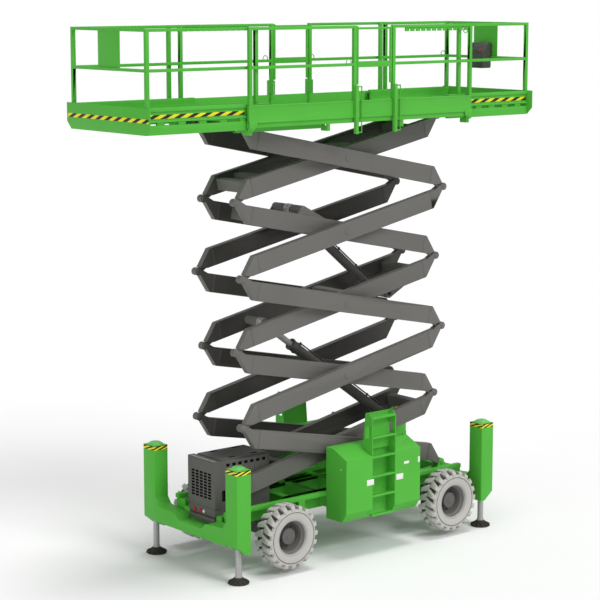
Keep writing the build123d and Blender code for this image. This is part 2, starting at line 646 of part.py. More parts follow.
for side_name, side in (("near", -1), ("far", 1)):
    with BuildPart() as knuckle:
        king = Plane(origin=(FRONT_AXLE_X, side * KING_Y, KNUCKLE_Z0))
        king_length = KNUCKLE_Z1 - KNUCKLE_Z0
        add(many_sided(king, KNUCKLE_R, NOSE_SIDES, king_length))
        block(
            FRONT_AXLE_X - KNUCKLE_R, FRONT_AXLE_X + KNUCKLE_R,
            side * KING_Y, side * (KING_Y + 60), KNUCKLE_Z0 + 40, KNUCKLE_Z1,
        )
        spindle_from = KING_Y + 50 if side > 0 else -SPINDLE_Y1
        bar(across(FRONT_AXLE_X, spindle_from, AXLE_Z), SPINDLE_R, SPINDLE_Y1 - KING_Y - 50)
        # steering arm
        block(
            FRONT_AXLE_X, FRONT_AXLE_X + STEER_ARM,
            side * KING_Y - 25, side * KING_Y + 25, STEER_ARM_Z0, STEER_ARM_Z1,
        )
        arm_end = Plane(origin=(FRONT_AXLE_X + STEER_ARM, side * KING_Y, STEER_ARM_Z0))
        arm_t = STEER_ARM_Z1 - STEER_ARM_Z0
        add(many_sided(arm_end, TIE_EYE_R, NOSE_SIDES, arm_t))
        add(many_sided(arm_end, TIE_PIN_R + RUNNING, NOSE_SIDES, arm_t, flats=True), mode=Mode.SUBTRACT)
        add(many_sided(king, KING_PIN_R + RUNNING, NOSE_SIDES, king_length, flats=True), mode=Mode.SUBTRACT)
    finish(knuckle, f"knuckle_{side_name}")

with BuildPart() as tie_rod:
    tie_x = FRONT_AXLE_X + STEER_ARM
    tie_z = STEER_ARM_Z1 + YOKE_GAP
    add(many_sided(across(tie_x, -KING_Y, tie_z + TIE_T / 2), TIE_T / 2 - 1, HANDLE_SIDES, 2 * KING_Y))
    for side in (-1, 1):
        add(many_sided(Plane(origin=(tie_x, side * KING_Y, tie_z)), TIE_EYE_R, NOSE_SIDES, TIE_T))
        bar(Plane(origin=(tie_x, side * KING_Y, STEER_ARM_Z0)), TIE_PIN_R, tie_z - STEER_ARM_Z0 + TIE_T / 2)
finish(tie_rod, "tie_rod")

# ================================================================ wheels
WHEELS = (
    ("front_near", FRONT_AXLE_X, -1),
    ("front_far", FRONT_AXLE_X, 1),
    ("rear_near", REAR_AXLE_X, -1),
    ("rear_far", REAR_AXLE_X, 1),
)
ROOT_R = WHEEL_R - TREAD_DEPTH


def tread_outline(turn):
    """Corners of a ring of lugs, its first one turned that many degrees about the hub."""
    corners = []
    for index in range(LUGS):
        middle = 360.0 * index / LUGS + turn
        for radius, sign in ((ROOT_R, -1), (WHEEL_R, -1), (WHEEL_R, 1), (ROOT_R, 1)):
            angle = radians(middle + sign * degrees(asin(LUG_HALF_W / radius)))
            corners.append((radius * cos(angle), radius * sin(angle)))
    return corners


for name, x, side in WHEELS:
    # wheel plane: +Z out of the machine, origin at the tyre's inner face
    hub = Plane(origin=(x, side * TYRE_Y0, AXLE_Z), x_dir=(1, 0, 0), z_dir=(0, side, 0))
    half_pitch = 180.0 / LUGS
    with BuildPart() as tyre:
        # lugs of the two shoulders stand half a pitch apart
        for start, turn in ((SHOULDER, 0), (TYRE_W / 2, half_pitch)):
            with BuildSketch(hub.offset(start)):
                Polygon(*tread_outline(turn), align=None)
            extrude(amount=TYRE_W / 2 - SHOULDER)
        for low in (0, TYRE_W - SHOULDER):
            add(many_sided(hub.offset(low), TYRE_SIDEWALL_R, RIM_SIDES, SHOULDER))
        add(many_sided(hub, TYRE_SEAT_R, RIM_SIDES, TYRE_W), mode=Mode.SUBTRACT)
    finish(tyre, f"tyre_{name}")
    with BuildPart() as rim:
        add(many_sided(hub.offset(SHOULDER), TYRE_SEAT_R, RIM_SIDES, TYRE_W - 2 * SHOULDER))
        # stepped dish on both sides of the disc
        disc0, disc1 = DISC_Y0 - TYRE_Y0, DISC_Y1 - TYRE_Y0
        for radius, low, high in (
            (TYRE_SEAT_R - RIM_FLANGE, 0, SHOULDER + RIM_STEP),
            (RIM_BORE_R, 0, disc0),
            (RIM_BORE_R, disc1, TYRE_W),
            (TYRE_SEAT_R - RIM_FLANGE, TYRE_W - SHOULDER - RIM_STEP, TYRE_W),
        ):
            add(many_sided(hub.offset(low), radius, RIM_SIDES, high - low), mode=Mode.SUBTRACT)
        hub0, hub1 = HUB_Y0 - TYRE_Y0, HUB_Y1 - TYRE_Y0
        add(many_sided(hub.offset(hub0), HUB_R, NOSE_SIDES, hub1 - hub0))
        bore = many_sided(hub, SPINDLE_R + RUNNING, NOSE_SIDES, TYRE_W, flats=True)
        add(bore, mode=Mode.SUBTRACT)
    finish(rim, f"rim_{name}")

# ================================================================ main deck
with BuildPart() as deck:
    # side beams: skirt outside, box behind its lower edge, pockets under the posts
    block(DECK_X0, DECK_X1, DECK_HALF_W - SKIRT_T, DECK_HALF_W, SKIRT_Z0, SKIRT_Z1)
    block(DECK_X0, DECK_X1, SIDE_Y0, DECK_HALF_W - SKIRT_T - 8, SIDE_Z0, SKIRT_Z0 + SKIRT_T)
    block(DECK_X0, DECK_X1, SIDE_Y0, DECK_HALF_W, SKIRT_Z0, SKIRT_Z0 + SKIRT_T)
    for z in (SKIRT_Z0, SKIRT_Z1 - LIP_H):
        for x0, x1 in LIP_RUNS:
            block(x0, x1, DECK_HALF_W, DECK_HALF_W + LIP_T, z, z + LIP_H)
    for x in (*MAIN_POST_X, *GATE_POST_X):
        block(x - 26, x + 26, SIDE_Y0, DECK_HALF_W - SKIRT_T, SKIRT_Z0, SKIRT_Z1)
    # straps that pass under the roll-out decks
    for x in HANGER_X:
        x0, x1 = x - HANGER_W / 2, x + HANGER_W / 2
        block(x0, x1, FLOOR_HALF_W - 30, SIDE_Y0 + 30, HANGER_Z0, HANGER_Z1)
        block(x0, x1, SIDE_Y0, SIDE_Y0 + 30, HANGER_Z0, SIDE_Z0)
        block(x0, x1, FLOOR_HALF_W - 30, FLOOR_HALF_W, HANGER_Z0, DECK_CROSS_Z0)
    # track round the upper roller
    roller_top = TOP_PIN_Z + DECK_ROLLER_R + TRACK_CLEAR
    roller_low = TOP_PIN_Z - DECK_ROLLER_R - TRACK_CLEAR
    block(DECK_X0 + 6, DECK_TRACK_X1, TRACK_Y0, TRACK_Y1 + PLATE_T, roller_top, DECK_CROSS_Z0)
    block(DECK_X0 + 6, DECK_TRACK_X1, TRACK_Y1, TRACK_Y1 + PLATE_T, roller_low - PLATE_T, roller_top)
    block(DECK_X0 + 6, DECK_TRACK_X1, TRACK_Y0, TRACK_Y1, roller_low - PLATE_T, roller_low)
    # pivot plates round the inner arm's upper end
    for y in (INNER_Y0 - LUG_GAP - PLATE_T, INNER_Y1 + LUG_GAP):
        with BuildSketch(across(BASE_PIN_X, y, TOP_PIN_Z)):
            RegularPolygon(BOSS_R - 10, NOSE_SIDES)
            with BuildLine():
                Polyline(
                    (-BOSS_R + 10, 0),
                    (BOSS_R - 10, 0),
                    (2 * BOSS_R, TOP_PIN_Z - DECK_CROSS_Z0),
                    (-2 * BOSS_R, TOP_PIN_Z - DECK_CROSS_Z0),
                    close=True,
                )
            make_face()
        extrude(amount=PLATE_T)
        block(BASE_PIN_X - 2 * BOSS_R, DECK_X1 - 20, y, y + PLATE_T, DECK_CROSS_Z0, FLOOR_Z - FLOOR_T)
    bar(across(BASE_PIN_X, INNER_Y0 - LUG_GAP, TOP_PIN_Z), PIN_R, INNER_WIDTH + 2 * LUG_GAP)
    for y in (INNER_Y0 - LUG_GAP - PLATE_T - HEAD_T, INNER_Y1 + LUG_GAP + PLATE_T):
        add(many_sided(across(BASE_PIN_X, y, TOP_PIN_Z), HEAD_R, HEAD_SIDES, HEAD_T))
    mirror(about=Plane.XZ)
    for x in DECK_CROSS_X:
        block(x - DECK_CROSS_W / 2, x + DECK_CROSS_W / 2, -FLOOR_HALF_W, FLOOR_HALF_W, DECK_CROSS_Z0, FLOOR_Z - FLOOR_T)
    block(DECK_X0 + 6, DECK_X1 - 6, -FLOOR_HALF_W, FLOOR_HALF_W, FLOOR_Z - FLOOR_T, FLOOR_Z)
finish(deck, "main_deck")

# ================================================================ main guard rails
with BuildPart() as rails:
    rail_half = RAIL / 2
    for x in (*MAIN_POST_X, *GATE_POST_X):
        block(
            x - POST / 2, x + POST / 2, MAIN_RAIL_Y - POST / 2, MAIN_RAIL_Y + POST / 2,
            SKIRT_Z1, RAIL_TOP,
        )
    for x0, x1 in ((MAIN_POST_X[0], GATE_POST_X[0]), (GATE_POST_X[1], MAIN_POST_X[1])):
        for z in (RAIL_TOP - rail_half, RAIL_MID):
            block(x0, x1, MAIN_RAIL_Y - rail_half, MAIN_RAIL_Y + rail_half, z - rail_half, z + rail_half)
    # gate legs outside the skirt, each with a round grab handle
    for x in GATE_POST_X:
        leg_y = DECK_HALF_W + POST / 2
        block(x - POST / 2, x + POST / 2, DECK_HALF_W, DECK_HALF_W + POST, GATE_LEG_Z0, GATE_LEG_Z1)
        handle_z0, handle_z1 = GATE_LEG_Z0 + 20, GATE_LEG_Z1 - 20
        grip = Plane(origin=(x + GATE_HANDLE_X, leg_y, handle_z0 - GATE_HANDLE_R))
        add(many_sided(grip, GATE_HANDLE_R, HANDLE_SIDES, handle_z1 - handle_z0 + 2 * GATE_HANDLE_R))
        for z in (handle_z0, handle_z1):
            foot = Plane(origin=(x + POST / 2 - 5, leg_y, z), x_dir=(0, 1, 0), z_dir=(1, 0, 0))
            add(many_sided(foot, GATE_HANDLE_R, HANDLE_SIDES, GATE_HANDLE_X - POST / 2 + 5))
    # hinge lugs and pins of the gate
    post_face = GATE_POST_X[0] + POST / 2
    for z, pin_z in ((GATE_Z0 - 14, GATE_Z0 - 14), (GATE_Z1 + 2, GATE_Z1 - GATE_PIN_LEN)):
        block(post_face - 5, GATE_HINGE_X + 14, MAIN_RAIL_Y - 14, MAIN_RAIL_Y + 14, z, z + 12)
        bar(Plane(origin=(GATE_HINGE_X, MAIN_RAIL_Y, pin_z)), GATE_PIN_R, GATE_PIN_LEN + 10)
    mirror(about=Plane.XZ)
finish(rails, "main_rails")

# ================================================================ gates
for side_name, side in (("near", -1), ("far", 1)):
    with BuildPart() as gate:
        y0, y1 = side * MAIN_RAIL_Y - GATE_TUBE / 2, side * MAIN_RAIL_Y + GATE_TUBE / 2
        for x in (GATE_HINGE_X, GATE_FREE_X):
            block(x - GATE_TUBE / 2, x + GATE_TUBE / 2, y0, y1, GATE_Z0, GATE_Z1)
        for z0, z1 in ((GATE_Z1 - GATE_TUBE, GATE_Z1), (GATE_BAR_Z0, GATE_BAR_Z1)):
            block(GATE_HINGE_X, GATE_FREE_X, y0, y1, z0, z1)
        for z in (GATE_Z0, GATE_Z1 - GATE_PIN_LEN - 2):
            hole = Plane(origin=(GATE_HINGE_X, side * MAIN_RAIL_Y, z))
            bar(hole, GATE_PIN_R + RUNNING, GATE_PIN_LEN + 2, mode=Mode.SUBTRACT)
    finish(gate, f"gate_{side_name}")

# ================================================================ roll-out decks and their rails
for end, face, inner in (("left", EXT_END_X[0], DECK_X0 + EXT_OVERLAP), ("right", EXT_END_X[1], DECK_X1 - EXT_OVERLAP)):
    out = -1 if end == "left" else 1
    with BuildPart() as roll:
        back = face - out * EXT_END_T
        for z0, z1 in ((EXT_Z0, EXT_BAR_Z1), (EXT_CHANNEL_Z0, EXT_TOP_Z)):
            block(inner, back, EXT_SIDE_Y0, EXT_SIDE_Y1, z0, z1)
        # spacers between the upper channel and the lower bar
        for index in range(EXT_SPACERS):
            x = inner + (back - inner) * (index + 0.3) / EXT_SPACERS
            block(x - 60, x + 60, EXT_SIDE_Y0 + 15, EXT_SIDE_Y1 - 15, EXT_BAR_Z1, EXT_CHANNEL_Z0)
        mirror(about=Plane.XZ)
        block(inner, back, -EXT_SIDE_Y0, EXT_SIDE_Y0, EXT_FLOOR_Z - FLOOR_T, EXT_FLOOR_Z)
        with BuildSketch(Plane.YZ.offset(min(face, back))):
            with BuildLine():
                Polyline(
                    (-EXT_SIDE_Y1, EXT_END_TOP_Z),
                    (EXT_SIDE_Y1, EXT_END_TOP_Z),
                    (EXT_SIDE_Y1, EXT_Z0 + EXT_END_CHAMFER),
                    (EXT_SIDE_Y1 - EXT_END_CHAMFER, EXT_Z0),
                    (EXT_END_CHAMFER - EXT_SIDE_Y1, EXT_Z0),
                    (-EXT_SIDE_Y1, EXT_Z0 + EXT_END_CHAMFER),
                    close=True,
                )
            make_face()
        extrude(amount=EXT_END_T)
    finish(roll, f"ext_deck_{end}")
    with BuildPart() as ext_rails:
        corner = face - out * (EXT_POST_INSET + EXT_END_T)
        inner_post = inner + out * EXT_INNER_POST
        rail_half = RAIL / 2
        for x in (corner, inner_post):
            block(x - POST / 2, x + POST / 2, EXT_RAIL_Y - POST / 2, EXT_RAIL_Y + POST / 2, EXT_TOP_Z, RAIL_TOP)
        for z in (RAIL_TOP - rail_half, RAIL_MID):
            block(inner_post, corner, EXT_RAIL_Y - rail_half, EXT_RAIL_Y + rail_half, z - rail_half, z + rail_half)
        mirror(about=Plane.XZ)
        for z in (RAIL_TOP - rail_half, RAIL_MID):
            block(
                corner - rail_half, corner + rail_half, -EXT_RAIL_Y, EXT_RAIL_Y,
                z - rail_half, z + rail_half,
            )
        block(
            corner - PANEL_T / 2, corner + PANEL_T / 2, -PANEL_HALF_W, PANEL_HALF_W,
            RAIL_MID, RAIL_TOP - rail_half,
        )
    finish(ext_rails, f"ext_rails_{end}")

# ================================================================ platform control box
with BuildPart() as control:
    panel_x = EXT_END_X[1] - EXT_POST_INSET - EXT_END_T - RAIL / 2
    block(panel_x - CONTROL_D, panel_x, CONTROL_Y0, CONTROL_Y1, CONTROL_Z0, CONTROL_Z1)
    chamfer(control.edges().filter_by(Axis.X), length=CONTROL_EDGE)
finish(control, "control_box")
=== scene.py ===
import bpy
import json
import math
from mathutils import Matrix, Vector

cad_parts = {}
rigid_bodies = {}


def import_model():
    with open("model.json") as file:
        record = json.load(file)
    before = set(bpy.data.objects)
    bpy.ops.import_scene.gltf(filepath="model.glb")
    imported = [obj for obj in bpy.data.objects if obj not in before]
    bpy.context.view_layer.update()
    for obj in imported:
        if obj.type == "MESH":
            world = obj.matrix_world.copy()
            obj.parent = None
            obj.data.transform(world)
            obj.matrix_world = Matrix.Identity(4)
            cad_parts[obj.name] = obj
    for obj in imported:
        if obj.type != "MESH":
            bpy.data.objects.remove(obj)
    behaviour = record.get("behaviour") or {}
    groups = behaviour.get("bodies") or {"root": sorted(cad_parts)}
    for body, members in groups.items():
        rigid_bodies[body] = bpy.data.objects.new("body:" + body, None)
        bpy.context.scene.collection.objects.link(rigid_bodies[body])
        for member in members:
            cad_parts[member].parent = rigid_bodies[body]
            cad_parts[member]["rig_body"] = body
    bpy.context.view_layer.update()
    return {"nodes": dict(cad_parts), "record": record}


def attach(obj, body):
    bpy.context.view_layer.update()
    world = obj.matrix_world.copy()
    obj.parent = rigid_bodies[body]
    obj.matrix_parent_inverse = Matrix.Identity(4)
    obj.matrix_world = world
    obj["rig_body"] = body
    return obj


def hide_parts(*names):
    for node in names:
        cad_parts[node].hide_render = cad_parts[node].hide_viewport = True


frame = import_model()
nodes = frame["nodes"]
bpy.ops.object.select_all(action="DESELECT")
print("frame loaded,", len(nodes), "nodes")


class Wire:                                                # one socket, with the sums the finishes use
    def __init__(self, tree, socket):
        self.tree = tree
        self.socket = socket

    def node(self, kind, settings, inputs, output=0):      # settings first, then values or links
        made = self.tree.nodes.new(kind)
        for name, value in settings.items():
            setattr(made, name, value)
        for name, value in inputs.items():
            if isinstance(value, Wire):
                self.tree.links.new(value.socket, made.inputs[name])
            else:
                made.inputs[name].default_value = value
        return Wire(self.tree, made.outputs[output])

    def maths(self, operation, first, second=0.0):
        return self.node("ShaderNodeMath", {"operation": operation}, {0: first, 1: second})

    def __add__(self, other):
        return self.maths("ADD", self, other)

    def __rsub__(self, other):
        return self.maths("SUBTRACT", other, self)

    def __mul__(self, other):
        return self.maths("MULTIPLY", self, other)

    def __gt__(self, other):
        return self.maths("GREATER_THAN", self, other)

    def __lt__(self, other):
        return self.maths("LESS_THAN", self, other)

    __radd__ = __add__
    __rmul__ = __mul__

    def repeats(self, length):                             # 0..1 along every length
        return self.maths("FRACT", self * (1 / length))

    def along(self, direction):                            # distance along a direction
        settings = {"operation": "DOT_PRODUCT"}
        return self.node("ShaderNodeVectorMath", settings, {0: self, 1: direction}, "Value")

    def noise(self, scale, detail=2.0, roughness=0.5):
        inputs = {"Vector": self, "Scale": scale, "Detail": detail, "Roughness": roughness}
        return self.node("ShaderNodeTexNoise", {}, inputs)

    def blend(self, dark, light):                          # two colours, by this socket
        return self.node("ShaderNodeMix", {"data_type": "RGBA"}, {0: self, 6: dark, 7: light}, 2)

    def ramp(self, low, high):                             # 0 below low, 1 above high, smooth between
        inputs = {"Value": self, "From Min": low, "From Max": high}
        return self.node("ShaderNodeMapRange", {"interpolation_type": "SMOOTHSTEP"}, inputs)

    def bump(self, strength, distance):
        return self.node("ShaderNodeBump", {}, {"Height": self, "Strength": strength, "Distance": distance})


def rgba(red, green, blue):                                # written 0..255 as seen, stored linear
    seen = [v / 255 for v in (red, green, blue)]
    return tuple(v / 12.92 if v < 0.0405 else ((v + 0.055) / 1.055) ** 2.4 for v in seen) + (1.0,)


def newMaterial(name, constants):
    material = bpy.data.materials.new(name)
    material.use_nodes = True
    tree = material.node_tree
    shader = tree.nodes["Principled BSDF"]
    for socket, value in constants.items():
        shader.inputs[socket].default_value = value
    place = Wire(tree, tree.nodes.new("ShaderNodeTexCoord").outputs["Object"])

    def put(socket, wire):
        tree.links.new(wire.socket, shader.inputs[socket])
    return material, place, put


# a coat with slight cloudiness, fine orange peel and a little uneven gloss
def coat(name, colour, tone, roughness, peel=0.0006, metallic=0.0, gloss=0.35):
    material, place, put = newMaterial(name, {"Metallic": metallic, "Specular IOR Level": gloss})
    cloud = place.noise(1.3, 3.0)
    grain = place.noise(38.0, 3.0, 0.6)
    light = tuple(min(1.0, c * (1 + tone)) for c in colour[:3]) + (1.0,)
    dark = tuple(c * (1 - tone) for c in colour[:3]) + (1.0,)
    put("Base Color", (cloud * 0.7 + grain * 0.3).ramp(0.3, 0.7).blend(dark, light))
    put("Roughness", grain * 0.14 + (roughness - 0.07))
    put("Normal", place.noise(420.0, 1.0).bump(0.12, peel))
    return material


# slanted black and yellow bands; the direction's length sets how steep they stand
def hazardTape(name, direction, period):
    material, place, put = newMaterial(name, {"Specular IOR Level": 0.3})
    stripe = place.along(direction).repeats(period)
    scuff = place.noise(60.0, 4.0, 0.65).ramp(0.62, 0.72) * 0.25
    band = (stripe > 0.5) * (1 - scuff)
    put("Base Color", band.blend(rgba(38, 37, 30), rgba(240, 226, 40)))
    put("Roughness", place.noise(30.0) * 0.2 + 0.38)
    put("Normal", (stripe > 0.5).bump(0.1, 0.0003))
    return material


# chequered sheet: short raised bars, turned by turns, on the walked surfaces
def treadSheet(name, colour):
    material, place, put = newMaterial(name, {"Specular IOR Level": 0.35})
    rising, falling = place.along((18.0, 18.0, 0)), place.along((18.0, -18.0, 0))
    acrossRising, acrossFalling = place.along((7.0, -7.0, 0)), place.along((7.0, 7.0, 0))
    oneWay = (rising.repeats(1.0) < 0.22) * (acrossRising.repeats(1.0) < 0.55)
    other = (falling.repeats(1.0) < 0.22) * (acrossFalling.repeats(1.0) > 0.55)
    bars = oneWay + other
    wear = place.noise(4.0, 4.0).ramp(0.45, 0.7)
    light = tuple(c * 1.25 for c in colour[:3]) + (1.0,)
    put("Base Color", (bars * 0.5 + wear * 0.3).blend(colour, light))
    put("Roughness", place.noise(20.0) * 0.15 + 0.45)
    put("Normal", bars.bump(0.5, 0.002))
    return material


paint = {
    "green": coat("green enamel", rgba(83, 179, 62), 0.04, 0.45, 0.0006, 0.0, 0.16),
    # paler green for upward faces and cap plates: painted top light
    "capTopLight": coat("pale green cap with painted top light", rgba(100, 186, 88), 0.05, 0.4),
    "arms": coat("warm grey enamel", rgba(104, 102, 99), 0.05, 0.5),
    # darker grey for the arms' inner sides: painted shade
    "armInsideShade": coat("painted shade on arm insides", rgba(62, 60, 57), 0.1, 0.62),
    "runningGear": coat("dark grey enamel", rgba(70, 69, 67), 0.06, 0.55),
    "unit": coat("power unit enamel", rgba(86, 85, 82), 0.05, 0.5),
    # pale grey for the cowl's top edge: a painted highlight
    "unitEdgeHighlight": coat("painted edge highlight", rgba(178, 177, 172), 0.06, 0.45),
    "rubber": coat("light grey rubber", rgba(184, 182, 178), 0.05, 0.8, 0.002, 0.0, 0.2),
    # darker rubber for the grooves and between the lugs: painted shade
    "rubberGrooveShade": coat("painted shade in rubber grooves", rgba(84, 82, 78), 0.12, 0.9, 0.002, 0.0, 0.15),
    "rim": coat("rim enamel", rgba(174, 173, 170), 0.04, 0.5),
    "dish": coat("shaded rim enamel", rgba(122, 119, 116), 0.06, 0.55),
    "hub": coat("hub enamel", rgba(98, 96, 94), 0.05, 0.5),
    "chrome": coat("satin chrome", rgba(168, 168, 167), 0.03, 0.38, 0.0001, 0.25, 0.4),
    # near black for the insides of openings: painted shade
    "black": coat("painted shade in openings", rgba(22, 21, 20), 0.1, 0.8, 0.0004, 0.0, 0.1),
    "pad": coat("foot pad rubber", rgba(60, 58, 55), 0.15, 0.75, 0.003, 0.0, 0.2),
    "moulding": coat("moulded plastic", rgba(67, 70, 64), 0.06, 0.5),
    "red": coat("red moulding", rgba(150, 34, 42), 0.05, 0.35),
    "white": coat("blank white label", rgba(232, 232, 228), 0.015, 0.5),
    "deckTape": hazardTape("deck hazard tape", (0.45, -0.45, -1.0), 0.094),
    "towerTape": hazardTape("tower hazard tape", (0.33, -0.33, -1.0), 0.047),
    "tread": treadSheet("green tread sheet", rgba(80, 160, 60)),
}
print("finishes mixed")


def pick(*things):
    bpy.ops.object.select_all(action="DESELECT")
    for thing in things:
        thing.select_set(True)
    bpy.context.view_layer.objects.active = things[0]


def chooseFaces(piece, test):                              # leaves edit mode on, these faces selected
    pick(piece)
    bpy.ops.object.mode_set(mode="EDIT")
    bpy.ops.mesh.select_mode(type="FACE")
    bpy.ops.mesh.select_all(action="DESELECT")
    bpy.ops.object.mode_set(mode="OBJECT")
    for face in piece.data.polygons:
        face.select = test(face.center, face.normal)
    bpy.ops.object.mode_set(mode="EDIT")


def pushFaces(piece, test, move, grow, centre):            # moves the faces, then grows them about a centre
    chooseFaces(piece, test)
    bpy.ops.transform.translate(value=move)
    bpy.ops.transform.resize(value=grow, center_override=centre)
    bpy.ops.object.mode_set(mode="OBJECT")


def drawFaces(piece, test, move):                          # extrudes the faces by a move
    chooseFaces(piece, test)
    bpy.ops.mesh.extrude_region_move(TRANSFORM_OT_translate={"value": move})
    bpy.ops.object.mode_set(mode="OBJECT")


def movePoints(piece, test, move):
    pick(piece)
    bpy.ops.object.mode_set(mode="EDIT")
    bpy.ops.mesh.select_mode(type="VERT")
    bpy.ops.mesh.select_all(action="DESELECT")
    bpy.ops.object.mode_set(mode="OBJECT")
    for point in piece.data.vertices:
        point.select = test(point.co)
    bpy.ops.object.mode_set(mode="EDIT")
    bpy.ops.transform.translate(value=move)
    bpy.ops.object.mode_set(mode="OBJECT")


def sliced(piece, point, normal, cutOff=False):            # an edge ring, or the far side cut away
    pick(piece)
    bpy.ops.object.mode_set(mode="EDIT")
    bpy.ops.mesh.select_all(action="SELECT")
    bpy.ops.mesh.bisect(plane_co=point, plane_no=normal, use_fill=cutOff, clear_outer=cutOff)
    bpy.ops.object.mode_set(mode="OBJECT")


def soften(piece, width, segments=2, angle=30, clamp=True):
    pick(piece)
    edge = piece.modifiers.new("edge", "BEVEL")
    edge.width = width
    edge.segments = segments
    edge.limit_method = "ANGLE"
    edge.angle_limit = math.radians(angle)
    edge.use_clamp_overlap = clamp
    bpy.ops.object.modifier_apply(modifier="edge")


def block(name, low, high, edge=0.004):
    bpy.ops.object.select_all(action="DESELECT")
    bpy.ops.mesh.primitive_cube_add(size=1, location=[(a + b) / 2 for a, b in zip(low, high)])
    piece = bpy.context.object
    piece.name = name
    piece.scale = [b - a for a, b in zip(low, high)]
    bpy.ops.object.transform_apply(location=True, rotation=True, scale=True)
    if edge:
        soften(piece, edge)
    return piece


def span(side, *reach):                                    # two distances on one side of the middle, in order
    return sorted(side * distance for distance in reach)


# a profile of (distance, radius) rings, drawn along a direction from its centre
def turned(name, centre, direction, rings, sides=24, closed=False):
    bpy.ops.object.select_all(action="DESELECT")
    bpy.ops.mesh.primitive_circle_add(vertices=sides, radius=rings[0][1], location=(0, 0, rings[0][0]))
    piece = bpy.context.object
    piece.name = name
    bpy.ops.object.mode_set(mode="EDIT")
    bpy.ops.mesh.select_mode(type="EDGE")
    bpy.ops.mesh.select_all(action="SELECT")
    if not closed:
        bpy.ops.mesh.edge_face_add()
        bpy.ops.mesh.select_all(action="SELECT")
    for (before, small), (after, large) in zip(rings, rings[1:]):
        bpy.ops.mesh.extrude_region_move(TRANSFORM_OT_translate={"value": (0, 0, after - before)})
        bpy.ops.transform.resize(value=(large / small, large / small, 1), center_override=(0, 0, after))
    bpy.ops.mesh.select_all(action="SELECT")
    bpy.ops.mesh.remove_doubles(threshold=0.00005)
    bpy.ops.mesh.normals_make_consistent(inside=False)
    bpy.ops.object.mode_set(mode="OBJECT")
    piece.rotation_euler = Vector(direction).to_track_quat("Z", "Y").to_euler()
    piece.location = Vector(centre) + Vector(direction).normalized() * rings[0][0]
    bpy.ops.object.transform_apply(location=True, rotation=True, scale=True)
    return piece


def copied(piece, name, place):                            # its own mesh, moved by a matrix
    pick(piece)
    bpy.ops.object.duplicate(linked=False)
    twin = bpy.context.object
    twin.name = name
    twin.matrix_world = place
    bpy.ops.object.transform_apply(location=True, rotation=True, scale=True)
    if place.determinant() < 0:
        bpy.ops.object.mode_set(mode="EDIT")
        bpy.ops.mesh.select_all(action="SELECT")
        bpy.ops.mesh.normals_make_consistent(inside=False)
        bpy.ops.object.mode_set(mode="OBJECT")
    return twin


def about(point, matrix):
    return Matrix.Translation(point) @ matrix @ Matrix.Translation(-Vector(point))


def joined(name, pieces):
    pick(*pieces)
    if len(pieces) > 1:
        bpy.ops.object.join()
    bpy.context.object.name = name
    return bpy.context.object


def cutWith(piece, cutters):                               # holes in the shape of the cutters
    cutter = joined("cutter", cutters)
    pick(piece)
    hole = piece.modifiers.new("hole", "BOOLEAN")
    hole.operation = "DIFFERENCE"
    hole.solver = "EXACT"
    hole.object = cutter
    bpy.ops.object.modifier_apply(modifier="hole")
    bpy.data.objects.remove(cutter)


def coverWith(piece, finish, test):                        # a second finish on the faces that pass
    piece.data.materials.append(finish)
    index = len(piece.data.materials) - 1
    for face in piece.data.polygons:
        if test(face.center, face.normal):
            face.material_index = index


def bodyOf(name):
    return nodes[name]["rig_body"]


def smoothed(piece, angle=35):
    pick(piece)
    bpy.ops.object.shade_smooth_by_angle(angle=math.radians(angle))


def settle(piece, finish, node, replaced=(), smooth=35):
    piece.data.materials.clear()
    piece.data.materials.append(finish)
    smoothed(piece, smooth)
    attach(piece, bodyOf(node))
    if replaced:
        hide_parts(*replaced)


# a CAD node's copy, merged and flattened, shaped by a function if it has one, its edges softened
def dressed(name, finish, bevel=0.003, shape=None):
    source = nodes[name]
    piece = source.copy()
    piece.data = source.data.copy()
    for key in list(piece.keys()):
        del piece[key]
    piece.parent = None
    piece.name = name + "_skin"
    bpy.context.scene.collection.objects.link(piece)
    pick(piece)
    bpy.ops.object.mode_set(mode="EDIT")
    bpy.ops.mesh.select_all(action="SELECT")
    bpy.ops.mesh.remove_doubles(threshold=0.00002)
    bpy.ops.mesh.dissolve_limited(angle_limit=math.radians(0.4))
    bpy.ops.object.mode_set(mode="OBJECT")
    piece.data.materials.clear()
    piece.data.materials.append(finish)
    if shape:
        shape(piece)
    if bevel:
        soften(piece, bevel, clamp=False)
    smoothed(piece)
    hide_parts(name)
    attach(piece, bodyOf(name))
    return piece


nearAndFar = ((-1, "near"), (1, "far"))
facing = 0.9                                               # a face and the bevel strip next to it
flat = 0.95                                                # the face without its bevels
upright = 0.7                                              # a wall, with most of its bevels
slack = 0.0005                                             # how far from a limit a face may still lie

# rails, gates, axles, knuckles and cylinders: the CAD pieces that only want softer edges and a finish
slotPaint = {
    "green_paint": paint["green"], "dark_paint": paint["runningGear"], "chrome": paint["chrome"],
    "tyre_grey": paint["rubber"], "rim_grey": paint["rim"], "dark_plastic": paint["moulding"],
}
madeBelow = (
    "tyre_", "rim_", "leg_", "power_unit", "control_box", "arm_", "outrigger_", "ext_deck", "main_deck",
    "side_module", "chassis_frame",
)
for part in frame["record"]["subparts"]:
    if not part["node"].startswith(madeBelow):
        dressed(part["node"], slotPaint[part["material_slot"]])
print("rails and running gear dressed")

# scissor arms: a weld ring where each end's thicker plate meets the box, with painted shade on their inner
# sides
arm = {
    "middleX": 0.1926, "baseZ": 0.970, "rise": 1.023, "tilt": 11.576, "levels": 5, "edge": 0.004,
    "ringAt": 1.61, "ringWidth": 0.014, "ringHeight": 0.0025, "sidesFrom": 0.2,
}


def armFrame(level, kind):                                 # centre, direction along, direction up
    slope = 1 if (level % 2 == 1) == (kind == "inner") else -1
    lean = math.radians(arm["tilt"]) * slope
    centre = Vector((arm["middleX"], 0, arm["baseZ"] + (arm["levels"] - level + 0.5) * arm["rise"]))
    return centre, Vector((math.cos(lean), 0, math.sin(lean))), Vector((-math.sin(lean), 0, math.cos(lean)))


